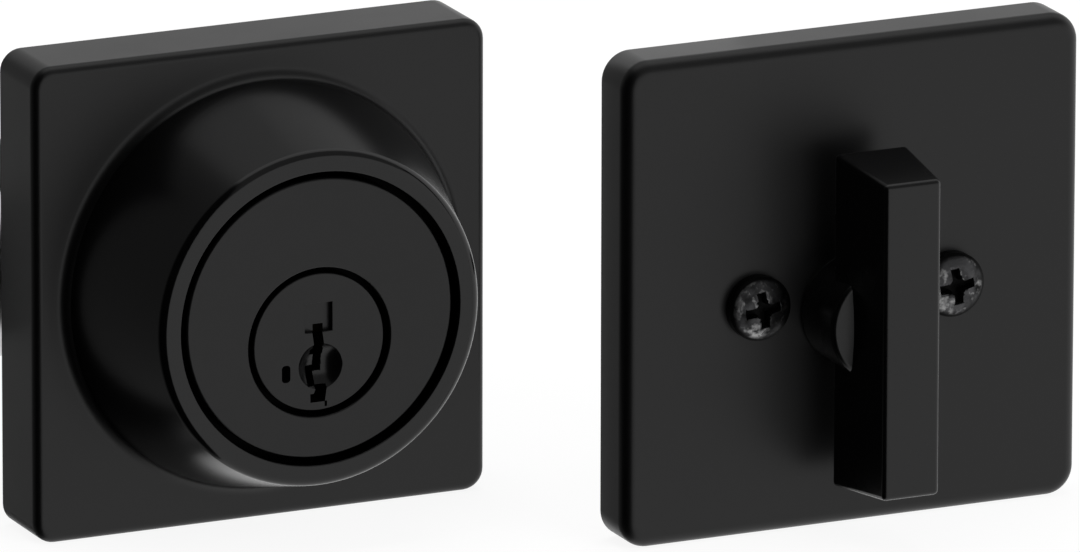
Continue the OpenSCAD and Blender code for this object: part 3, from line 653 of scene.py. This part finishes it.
def thread(mesh, centre, root, crest, low, high):
    """A screw thread's ridge, as a small triangle wound up a wall."""
    ridge = bmesh.new()
    corners = [(root, 0, low), (crest, 0, low + THREAD_HALF), (root, 0, low + 2 * THREAD_HALF)]
    bmesh.ops.spin(
        ridge,
        geom=section(ridge, corners),
        cent=(0, 0, 0),
        dvec=(0, 0, THREAD_PITCH / THREAD_STEPS),
        axis=(0, 0, 1),
        angle=math.tau,
        steps=THREAD_STEPS,
    )
    first_turn = [*ridge.verts, *ridge.edges, *ridge.faces]
    for turn in range(1, int((high - low) / THREAD_PITCH) - 1):
        again = bmesh.ops.duplicate(ridge, geom=first_turn)["geom"]
        moved = [part for part in again if isinstance(part, bmesh.types.BMVert)]
        bmesh.ops.translate(ridge, vec=(0, 0, turn * THREAD_PITCH), verts=moved)
    cap_ends(ridge)
    bmesh.ops.translate(ridge, vec=(*centre, 0), verts=ridge.verts)
    add_to(mesh, ridge)


def smooth_black(name, hollow=None):
    """The smoother black, turned metallic in the gaps so that they render dead black: painted
    shade. A hollow, by its drop and radius, is smoother.
    """
    coat = Finish(name)
    place = object_place(coat)
    rub = noise(coat, place, RUB_SCALE, detail=5.0)
    out = outwards(coat, place)
    around = arm_length(coat, place, 0)
    # painted shade: in the gaps round the face and the plug the coat turns metallic and renders
    # dead black
    painted_gap_shade = (
        spread(coat, around, *GAP_SHADE_AROUND)
        * spread(coat, out, *GAP_SHADE_BACK)
        * (1 - spread(coat, out, *GAP_SHADE_FRONT))
    )
    rough = rub * RUB_SPREAD + CYLINDER_ROUGHNESS
    if hollow:
        drop, radius = hollow
        away = arm_length(coat, place, -drop * MM)
        rough = rough - (1 - spread(coat, away, radius - 0.1, radius)) * HOLLOW_SMOOTHER
    return skin(
        coat,
        rub,
        FINE_RELIEF,
        {
            "Base Color": COAT_TONE,
            "Metallic": painted_gap_shade,
            "Roughness": rough,
            "Specular IOR Level": CYLINDER_GLOSS,
        },
    )


finishes["black_cylinder"] = smooth_black("black_cylinder")

cylinder = copy_of("cylinder_body", EXTERIOR)
bmesh.ops.translate(cylinder, vec=(0, -AXIS_DROP, 0), verts=cylinder.verts)
swell(cylinder, CAD_FACE_RADIUS, FACE_RADIUS)
rounded(cylinder, ring(cylinder, FACE_RADIUS, FACE_FRONT), FACE_EDGE, segments=6)
bmesh.ops.translate(cylinder, vec=(0, AXIS_DROP, 0), verts=cylinder.verts)
swell(cylinder, CAD_PLUG_HOLE, PLUG_HOLE)
rounded(cylinder, ring(cylinder, PLUG_HOLE, FACE_FRONT), PLUG_HOLE_EDGE, segments=4)
for side in (-POST_X, POST_X):
    post = (side, POST_Y)
    rounded(cylinder, ring(cylinder, POST_RADIUS, -POST_REACH, post), POST_EDGE, segments=3)
    rounded(cylinder, ring(cylinder, POST_HOLE, -POST_REACH, post), POST_HOLE_EDGE, segments=2)
    thread(
        cylinder,
        post,
        root=POST_HOLE + THREAD_SINK,
        crest=POST_HOLE - THREAD_HEIGHT,
        low=THREAD_LEAD - POST_REACH,
        high=POST_HOLE_DEPTH - POST_REACH,
    )
piece("key_cylinder", "cylinder_body", cylinder, EXTERIOR, "lock_set", "black_cylinder")


# ---- Snap ring of the cylinder --------------------------------------------------------------
# A split ring of flat spring steel in the housing's groove. It keeps the cylinder seated against
# the lip, and its open ends face down.

RING_EDGE = 0.1
RING_STEPS = 96
GRAIN_SCALE = 2500.0
GRAIN_SPREAD = 0.22
CLOUD_SPREAD = 0.1
TONE_CONTRAST = 1.6


def split_ring(mesh, inner, outer, low, high, opening, towards):
    """A flat ring with a gap, its edges broken, with the gap turned towards an angle."""
    corners = [(inner, 0, low), (outer, 0, low), (outer, 0, high), (inner, 0, high)]
    bmesh.ops.spin(
        mesh,
        geom=section(mesh, corners),
        cent=(0, 0, 0),
        axis=(0, 0, 1),
        angle=math.tau - math.radians(opening),
        steps=RING_STEPS,
    )
    turn = Matrix.Rotation(math.radians(towards + opening / 2), 3, "Z")
    bmesh.ops.rotate(mesh, cent=(0, 0, 0), matrix=turn, verts=mesh.verts)
    cap_ends(mesh)
    rounded(mesh, sharp_edges(mesh), RING_EDGE, segments=2)


def two_tone(finish, share, first, second):
    """From the first colour to the second as the share goes from 0 to 1.

    A Mix node's colours go in at its sockets 6 and 7, and their mix comes out at 2.
    """
    sockets = {"Factor": share, 6: first, 7: second}
    return finish.node("ShaderNodeMix", {"data_type": "RGBA"}, sockets, 2)


def metal(name, colour, dark, mottle, rough, grain=(1, 1, 1), bump=0.1):
    """Bare or plated metal: two tones mixed by a mottle in mm, a grain, and an uneven polish."""
    made = Finish(name)
    place = object_place(made)
    drawn = made.node("ShaderNodeMapping", {}, {"Vector": place, "Scale": grain})
    cloud = noise(made, place, 1 / (mottle * MM), detail=3.0)
    lines = noise(made, drawn, GRAIN_SCALE, detail=4.0)
    share = cloud * TONE_CONTRAST - (TONE_CONTRAST - 1) / 2
    smoothest = rough - (GRAIN_SPREAD + CLOUD_SPREAD) / 2
    return skin(
        made,
        lines,
        bump,
        {
            "Base Color": two_tone(made, share, (*dark, 1), (*colour, 1)),
            "Metallic": 1.0,
            "Roughness": lines * GRAIN_SPREAD + cloud * CLOUD_SPREAD + smoothest,
        },
    )


finishes["spring_steel"] = metal(
    "spring_steel", colour=(0.4, 0.41, 0.43), dark=(0.25, 0.26, 0.3), mottle=6, rough=0.3
)
snap_ring = bmesh.new()
split_ring(snap_ring, inner=20.5, outer=21.98, low=21.5, high=22.5, opening=24, towards=-90)
bmesh.ops.translate(snap_ring, vec=(0, AXIS_DROP, 0), verts=snap_ring.verts)
piece(
    "housing_snap_ring", "cylinder_snap_ring", snap_ring, EXTERIOR, "lock_set", "spring_steel"
)


# ---- Key plug -------------------------------------------------------------------------------
# The turned plug that the key goes into, with its warded keyway, the square window and round
# dimple that lead the key in, and the small slot of the re-keying tool. Its black is the
# cylinder's, smoother still in the dimple.

HEAD_FRONT = 30.7
CAD_HEAD_RADIUS = 9.5
HEAD_RADIUS = 9.6
HEAD_EDGE = 0.25
DIMPLE_DROP = 3.45
DIMPLE_RADIUS = 3.25
DIMPLE_BALL = 5.0
ON_BALL = 0.02
CAD_DIMPLE_DEPTH = 1.2
DIMPLE_DEPTH = 1.5
DIMPLE_SHIFT = 0.25
WINDOW_HALF = 2.0
WINDOW_LOW, WINDOW_TOP = 1.4, 5.4
WINDOW_EDGE = 0.12
WINDOW_FLOOR = 29.35
WINDOW_RAISE = 0.4
KEYWAY_HALF = 1.5
KEYWAY_SHIFT = 0.45


def in_window(place, slack):
    """Whether a place lies within the window's outline, or outside it by no more than slack."""
    return (
        abs(place.x) < WINDOW_HALF + slack and WINDOW_LOW - slack < place.y < WINDOW_TOP + slack
    )


plug = copy_of("key_plug", EXTERIOR)
swell(plug, CAD_HEAD_RADIUS, HEAD_RADIUS)
rounded(plug, ring(plug, HEAD_RADIUS, HEAD_FRONT), HEAD_EDGE, segments=4)
ball = Vector((0, -DIMPLE_DROP, HEAD_FRONT + DIMPLE_BALL - CAD_DIMPLE_DEPTH))
dimple = [
    face
    for face in plug.faces
    if all(abs((vert.co - ball).length - DIMPLE_BALL) < ON_BALL for vert in face.verts)
]
for face in bmesh.ops.triangulate(plug, faces=dimple)["faces"]:
    face.material_index = 1
bmesh.ops.subdivide_edges(
    plug,
    edges=[
        edge for edge in plug.edges if any(face.material_index for face in edge.link_faces)
    ],
    cuts=4,
    use_grid_fill=True,
)
for vert in plug.verts:
    if not any(face.material_index for face in vert.link_faces):
        continue
    away = Vector((vert.co.x, vert.co.y + DIMPLE_DROP))
    if vert.co.z > HEAD_FRONT - SAME_HEIGHT:
        away *= DIMPLE_RADIUS / away.length
        vert.co = (away.x, away.y - DIMPLE_DROP, HEAD_FRONT)
    else:
        cap = math.sqrt(DIMPLE_BALL**2 - away.length_squared) - DIMPLE_BALL + CAD_DIMPLE_DEPTH
        vert.co.z = HEAD_FRONT - cap * DIMPLE_DEPTH / CAD_DIMPLE_DEPTH
    vert.co.x += DIMPLE_SHIFT
for face in plug.faces:
    face.material_index = 0
window_edges = [
    edge
    for edge in sharp_edges(plug)
    if all(
        abs(vert.co.z - HEAD_FRONT) < SAME_PLACE and in_window(vert.co, 0.01)
        for vert in edge.verts
    )
]
rounded(plug, window_edges, WINDOW_EDGE, segments=2)
for vert in plug.verts:
    if abs(vert.co.z - WINDOW_FLOOR) < SAME_PLACE and in_window(vert.co, 0.1):
        vert.co.z += WINDOW_RAISE
        vert.co.x += KEYWAY_SHIFT if abs(vert.co.x) < KEYWAY_HALF else 0
finishes["black_plug"] = smooth_black("black_plug", (DIMPLE_DROP, DIMPLE_RADIUS))
piece("plug", "key_plug", plug, EXTERIOR, "plug", "black_cylinder", "black_plug")


# ---- Plug clip ------------------------------------------------------------------------------
# A split clip of flat spring steel, snapped into the groove that the plug has behind the barrel.
# It keeps the plug from being pulled out of the cylinder.

clip = bmesh.new()
split_ring(clip, inner=7.65, outer=10.6, low=4.95, high=5.85, opening=40, towards=90)
piece("rear_clip", "plug_clip", clip, EXTERIOR, "plug", "spring_steel")


# ---- Spring cover ---------------------------------------------------------------------------
# A strip of brass pressed into the slot along the top of the plug. It closes the five chambers,
# and the pin springs push against it.

PIN_COUNT = 5
PIN_PITCH = 3.6
FIRST_PIN = 25.1
LAST_PIN = FIRST_PIN - (PIN_COUNT - 1) * PIN_PITCH
COVER_HALF = 1.75
COVER_FLOOR, COVER_TOP = 7.2, 8.15
COVER_PAST = 2.65
COVER_EDGE = 0.12
finishes["brass"] = metal(
    "brass", colour=(0.3, 0.21, 0.09), dark=(0.16, 0.11, 0.05), mottle=2, rough=0.36
)
cover = bmesh.new()
block(
    cover,
    (-COVER_HALF, COVER_FLOOR, LAST_PIN - COVER_PAST),
    (COVER_HALF, COVER_TOP, FIRST_PIN + COVER_PAST),
)
rounded(cover, cover.edges[:], COVER_EDGE, segments=3)
piece("spring_strip", "spring_cover", cover, EXTERIOR, "plug", "brass")


# ---- Side bar -------------------------------------------------------------------------------
# A brass bar along the pins. With the right key its five fingers enter the pins' grooves, and
# two weak springs push it outwards otherwise. It lies drawn in, as the right key holds it.


def broken_edges(name, node, frame_matrix, body, slot, width):
    """A CAD node's shape with its sharp edges broken, as filing or tumbling leaves them."""
    mesh = copy_of(node, frame_matrix)
    rounded(mesh, sharp_edges(mesh, angle=35), width, segments=3)
    return piece(name, node, mesh, frame_matrix, body, slot)


broken_edges("locking_bar", "side_bar", EXTERIOR, "plug", "brass", width=0.06)


# ---- Springs of the side bar ----------------------------------------------------------------
# Two small coil springs of bright wire, their end turns wound closed. They stand in the side
# bar's channel in the plug and push the bar outwards.

CLOSED_TURNS = 0.9
COIL_STEPS = 24
WIRE_SIDES = 8
BAR_SPRING_X, BAR_SPRING_Y = 2.3, 2.1


def coil(mesh, mean_radius, wire, length, active):
    """A compression spring that stands on z = 0, with a closed turn at each end."""
    upended = Matrix.Rotation(math.pi / 2, 3, "X")
    bmesh.ops.create_circle(mesh, segments=WIRE_SIDES, radius=wire / 2)
    bmesh.ops.rotate(mesh, cent=(0, 0, 0), matrix=upended, verts=mesh.verts)
    bmesh.ops.translate(mesh, vec=(mean_radius, 0, wire / 2), verts=mesh.verts)
    geometry = [*mesh.verts, *mesh.edges]
    closed = (CLOSED_TURNS, CLOSED_TURNS * wire)
    rise = length - wire - 2 * CLOSED_TURNS * wire
    for turns, height in (closed, (active, rise), closed):
        steps = math.ceil(turns * COIL_STEPS)
        geometry = bmesh.ops.spin(
            mesh,
            geom=geometry,
            cent=(0, 0, 0),
            dvec=(0, 0, height / steps),
            axis=(0, 0, 1),
            angle=math.tau * turns,
            steps=steps,
        )["geom_last"]
    cap_ends(mesh)


lying = Matrix(((0, 0, 1, BAR_SPRING_X), (0, 1, 0, BAR_SPRING_Y), (-1, 0, 0, 0), (0, 0, 0, 1)))
bar_springs = bmesh.new()
for out in (FIRST_PIN - 0.5 * PIN_PITCH, FIRST_PIN - 3.5 * PIN_PITCH):
    wound = bmesh.new()
    coil(wound, mean_radius=0.475, wire=0.25, length=2.9, active=3)
    spring_frame = Matrix.Translation((0, 0, out)) @ lying
    bmesh.ops.transform(wound, matrix=spring_frame, verts=wound.verts)
    add_to(bar_springs, wound)
piece("bar_springs", "side_bar_springs", bar_springs, EXTERIOR, "plug", "spring_steel")


# ---- Key pins and their springs -------------------------------------------------------------
# Five brass pins, turned with a groove for the side bar's finger and a small nose that rides
# on the key, their brass made near black, each pressed down by its own spring under the brass
# cover.

PIN_TOP = 4.1
PIN_PROFILE = [
    (0, -1.3),
    (0.225, -1.3),
    (0.45, 0.02),
    (1.25, 0.02),
    (1.4, 0.15),
    (1.4, 1.25),
    (1.35, 1.3),
    (1.0, 1.3),
    (1.0, 2.9),
    (1.35, 2.9),
    (1.4, 2.95),
    (1.4, 3.95),
    (1.25, PIN_TOP),
    (0, PIN_TOP),
]


def standing(x, y, z):
    """A frame that stands upright in the world, in millimetres."""
    return Matrix.Translation((x * MM, y * MM, z * MM)) @ Matrix.Diagonal((MM, MM, MM, 1))


# The pins' brass is made near black, far darker than the cover's brass.
finishes["darkened_brass"] = metal(
    "darkened_brass",
    colour=(0.06, 0.045, 0.025),
    dark=(0.03, 0.022, 0.013),
    mottle=0.6,
    rough=0.42,
)
for count in range(1, PIN_COUNT + 1):
    out = FIRST_PIN - (count - 1) * PIN_PITCH
    pin = bmesh.new()
    turned(pin, PIN_PROFILE)
    piece(
        f"tumbler_{count}",
        f"key_pin_{count}",
        pin,
        standing(0, -out, 0),
        f"pin_{count}",
        "brass",
        "darkened_brass",
    )
    wound = bmesh.new()
    coil(wound, mean_radius=1.15, wire=0.3, length=COVER_FLOOR - PIN_TOP, active=2.5)
    spring = piece(
        f"tumbler_spring_{count}",
        f"pin_spring_{count}",
        wound,
        standing(0, -out, PIN_TOP),
        "plug",
        "spring_steel",
    )
    -out * MM
    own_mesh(spring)


# ---- Torque blade and its retainer ----------------------------------------------------------
# A D-shaped bar of zinc-plated steel that carries the turn through the door. Its round head
# sits in the plug's rear socket, where a small split ring keeps it.

finishes["zinc_plated_steel"] = metal(
    "zinc_plated_steel",
    colour=(0.63, 0.64, 0.66),
    dark=(0.46, 0.46, 0.45),
    mottle=2.5,
    rough=0.34,
)
broken_edges("tail_blade", "torque_blade", EXTERIOR, "plug", "zinc_plated_steel", width=0.15)
keeper = bmesh.new()
split_ring(keeper, inner=3.65, outer=4.8, low=2.05, high=3.35, opening=50, towards=0)
piece("blade_keeper", "blade_retainer", keeper, EXTERIOR, "plug", "spring_steel")


# ---- Interior plate -------------------------------------------------------------------------
# The square die-cast plate of the room side, hollow behind, with bosses for the bushing and for
# the two screws. It has the same satin black coat, and a fatter roll round its front.

PLATE_X = 0.072
plate_lowest, plate_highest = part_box("interior_plate")
plate_centre = (plate_lowest.z + plate_highest.z) / 2
INTERIOR = facing(PLATE_X, plate_highest.y, plate_centre - AXIS_DROP * MM)
finishes["black_coat"] = sprayed_black("black_coat", COAT_ROUGHNESS)
plate = copy_of("interior_plate", INTERIOR)
piece("interior_trim", "interior_plate", plate, INTERIOR, "lock_set", "black_coat")


# ---- Turn-piece -----------------------------------------------------------------------------
# The lever that people turn: a tapered bar on a round hub, cast in one with its spindle, which
# is socketed for the torque blade and grooved for the retaining ring. Satin black.

HUB_JOIN = 8.4
HUB_FRONT = 17.7
HUB_RADIUS = 7.9
HUB_RISE = 1.5
HUB_EDGE = 0.7
BAR_BACK, BAR_FRONT = 12.7, 26.3
BAR_BACK_WIDTH, BAR_FRONT_WIDTH = 10.9, 8.3
BAR_BACK_LENGTH, BAR_FRONT_LENGTH = 46.7, 44.1
BAR_EDGE = 0.7
LEVER_ROUGHNESS = 0.24


def cut_off(mesh, height, **side):
    """Cut a mesh level at one height, clear one side of the cut, and close it."""
    bmesh.ops.bisect_plane(
        mesh,
        geom=[*mesh.verts, *mesh.edges, *mesh.faces],
        plane_co=(0, 0, height),
        plane_no=(0, 0, 1),
        **side,
    )
    close_flat(mesh, height)


lever = copy_of("turn_piece", INTERIOR)
cut_off(lever, HUB_JOIN, clear_outer=True)
turned(
    lever,
    [(0, HUB_JOIN), (HUB_RADIUS, HUB_JOIN), (HUB_RADIUS, HUB_FRONT), (0, HUB_FRONT + HUB_RISE)],
)
rounded(lever, ring(lever, HUB_RADIUS, HUB_FRONT), HUB_EDGE, segments=5)
bar = block(
    lever,
    (-BAR_BACK_WIDTH / 2, -BAR_BACK_LENGTH / 2, BAR_BACK),
    (BAR_BACK_WIDTH / 2, BAR_BACK_LENGTH / 2, BAR_FRONT),
)
bmesh.ops.scale(
    lever,
    vec=(BAR_FRONT_WIDTH / BAR_BACK_WIDTH, BAR_FRONT_LENGTH / BAR_BACK_LENGTH, 1),
    verts=[vert for vert in bar if vert.co.z > BAR_FRONT - 1],
)
rounded(lever, [edge for edge in lever.edges if edge.verts[0] in bar], BAR_EDGE, segments=5)
finishes["lever_coat"] = sprayed_black("lever_coat", LEVER_ROUGHNESS)
piece("turn_lever", "turn_piece", lever, INTERIOR, "turn", "black_coat", "lever_coat")


# ---- Spindle bushing ------------------------------------------------------------------------
# A white nylon sleeve with a thin flange, pushed into the plate's middle boss from the front.
# The turn-piece's spindle runs in it.

FLOW_SCALE = 400.0
FLOW_SPREAD = 0.15
NYLON_ROUGHNESS = 0.35
NYLON_CREAM = (0.7, 0.69, 0.63, 1)
NYLON_WHITE = (0.78, 0.77, 0.73, 1)
nylon = Finish("nylon")
flow = noise(nylon, object_place(nylon), FLOW_SCALE, detail=2.0)
finishes["nylon"] = skin(
    nylon,
    flow,
    0.1,
    {
        "Base Color": two_tone(nylon, flow, NYLON_CREAM, NYLON_WHITE),
        "Roughness": flow * FLOW_SPREAD + NYLON_ROUGHNESS,
        "Subsurface Weight": 0.15,
        "Subsurface Scale": 0.001,
    },
)
broken_edges("nylon_bushing", "spindle_bushing", INTERIOR, "lock_set", "nylon", width=0.1)


# ---- Spring washer and retaining ring -------------------------------------------------------
# A dished washer of spring steel behind the plate takes up the play of the turn-piece, and the
# split ring in the spindle's groove holds both.

broken_edges("dished_washer", "spring_washer", INTERIOR, "turn", "spring_steel", width=0.08)
keeper = bmesh.new()
split_ring(keeper, inner=4.75, outer=7.4, low=0.75, high=1.55, opening=60, towards=-90)
piece("spindle_ring", "retaining_ring", keeper, INTERIOR, "turn", "spring_steel")


# ---- Mounting screws ------------------------------------------------------------------------
# Two pan-head machine screws, blackened, with a cross recess. The black has rubbed off the tops
# in bright flecks, and everything below the top of the head, the recess too, is painted near black
# as shade. A plain neck runs through the plate, and the thread starts behind it.

SCREW_SEAT = 7.6
SCREW_JOIN = 7.7
SCREW_HEAD_RADIUS = 4.2
SCREW_SEAT_RADIUS = 4.15
SCREW_NECK = 9.6
SCREW_NECK_RADIUS = 1.75
SCREW_END = -28
SCREW_POINT = 1.0
SCREW_CORE = 1.78
SCREW_CREST = 2.05
SCREW_THREAD_LEAD = 0.1
SCREW_TOP = (9.2, 9.5)
SCREW_ROUGHNESS = 0.4
RUBBED_SMOOTHER = 0.15
FLECK_SCALE, BLOTCH_SCALE, PATCH_SCALE = 1400.0, 300.0, 420.0
RUBBED_FROM, RUBBED_THROUGH = 0.95, 1.2
RECESS_PAINTED_SHADE = (0.005, 0.005, 0.005, 1)
TOP_BLACK = (0.06, 0.06, 0.062, 1)
RUBBED_GREY = (0.3, 0.3, 0.3, 1)

black_oxide = Finish("black_screw")
place = object_place(black_oxide)
flecks = noise(black_oxide, place, FLECK_SCALE, detail=5.0)
blotches = noise(black_oxide, place, BLOTCH_SCALE, detail=2.0)
patches = noise(black_oxide, place, PATCH_SCALE, detail=4.0)
out = outwards(black_oxide, place)
top = spread(black_oxide, out, *[height - plate_highest.y / MM for height in SCREW_TOP])
rubbed_level = flecks * 0.8 + blotches * 1.1
rubbed = black_oxide.node(
    "ShaderNodeMapRange",
    {},
    {"Value": rubbed_level, "From Min": RUBBED_FROM, "From Max": RUBBED_THROUGH},
)
worn = rubbed * top
# painted shade: below the top of the head, the recess included, the colour is near black; only the
# top gets the lighter black
ground_with_painted_shade = two_tone(black_oxide, top * (patches * 4 - 1.4), RECESS_PAINTED_SHADE, TOP_BLACK)
finishes["black_screw"] = skin(
    black_oxide,
    flecks,
    0.6,
    {
        "Base Color": two_tone(black_oxide, worn, ground_with_painted_shade, RUBBED_GREY),
        "Metallic": 1.0,
        "Roughness": SCREW_ROUGHNESS - worn * RUBBED_SMOOTHER,
    },
    depth=0.1,
)
screws = copy_of("mounting_screws", INTERIOR)
cut_off(screws, SCREW_JOIN, clear_inner=True)
neck_end = SCREW_SEAT - SCREW_NECK
for side in (-POST_X, POST_X):
    turned(
        screws,
        [
            (0, SCREW_JOIN),
            (SCREW_HEAD_RADIUS, SCREW_JOIN),
            (SCREW_SEAT_RADIUS, SCREW_SEAT),
            (SCREW_NECK_RADIUS, SCREW_SEAT),
            (SCREW_NECK_RADIUS, neck_end),
            (SCREW_CORE, neck_end),
            (SCREW_CORE, SCREW_END),
            (SCREW_POINT, SCREW_END - SCREW_POINT),
            (0, SCREW_END - SCREW_POINT),
        ],
        (side, POST_Y),
    )
    thread(
        screws,
        (side, POST_Y),
        root=SCREW_CORE - THREAD_SINK,
        crest=SCREW_CREST,
        low=SCREW_END + SCREW_THREAD_LEAD,
        high=neck_end,
    )
piece("machine_screws", "mounting_screws", screws, INTERIOR, "lock_set", "black_screw")


# ---- Latch: faceplate, backplate and tube ---------------------------------------------------
# The black faceplate in the door's edge, the zinc-plated plate behind it, and the rolled tube
# that is crimped to it and guides the bolt. Nothing mirrors them, because so close to the
# housing they would show up in its coat.

LATCH = standing(0, 0, 0)
for name, node, slot, edge in (
    ("edge_faceplate", "latch_faceplate", "black_coat", 0.3),
    ("edge_backplate", "latch_backplate", "zinc_plated_steel", 0.15),
    ("bolt_tube", "latch_tube", "zinc_plated_steel", 0.08),
):
    broken_edges(name, node, LATCH, "lock_set", slot, edge).visible_glossy = False


# ---- Latch case -----------------------------------------------------------------------------
# Two stamped plates of zinc-plated steel held apart by four shouldered rivets. They carry the
# crank hub, the cylinder's posts pass through them, and a leaf spring in the case holds the
# crank at both ends of its turn.

finishes["bright_steel"] = metal(
    "bright_steel",
    colour=(0.6, 0.6, 0.61),
    dark=(0.42, 0.42, 0.44),
    mottle=4,
    rough=0.3,
    grain=(0.05, 1, 1),
    bump=0.25,
)
for name, node, slot, edge in (
    ("case_side_outer", "case_plate_outer", "zinc_plated_steel", 0.12),
    ("case_side_inner", "case_plate_inner", "zinc_plated_steel", 0.12),
    ("shouldered_rivets", "case_rivets", "bright_steel", 0.12),
    ("leaf_detent", "detent_spring", "spring_steel", 0.08),
):
    broken_edges(name, node, LATCH, "lock_set", slot, edge)


# ---- Crank ----------------------------------------------------------------------------------
# A hub of cast zinc with a D-shaped hole for the blade, an arm and a crank pin. The pin runs in
# the fork of the bolt's tail and throws the bolt.

finishes["cast_zinc"] = metal(
    "cast_zinc",
    colour=(0.42, 0.42, 0.41),
    dark=(0.24, 0.24, 0.24),
    mottle=0.8,
    rough=0.5,
    bump=0.5,
)
broken_edges("bolt_crank", "crank_hub", LATCH, "crank", "cast_zinc", width=0.2)


# ---- Bolt -----------------------------------------------------------------------------------
# The square dead bolt of brushed steel with its hardened roller inside, riveted to the stamped
# tail whose fork the crank drives. Like the tube, it isn't mirrored.

for name, node, slot, edge in (
    ("square_bolt", "dead_bolt", "bright_steel", 0.2),
    ("hard_roller", "bolt_roller", "bright_steel", 0.2),
    ("forked_tail", "bolt_tail", "zinc_plated_steel", 0.12),
    ("bolt_rivet", "tail_rivet", "bright_steel", 0.2),
):
    broken_edges(name, node, LATCH, "bolt", slot, edge).visible_glossy = False
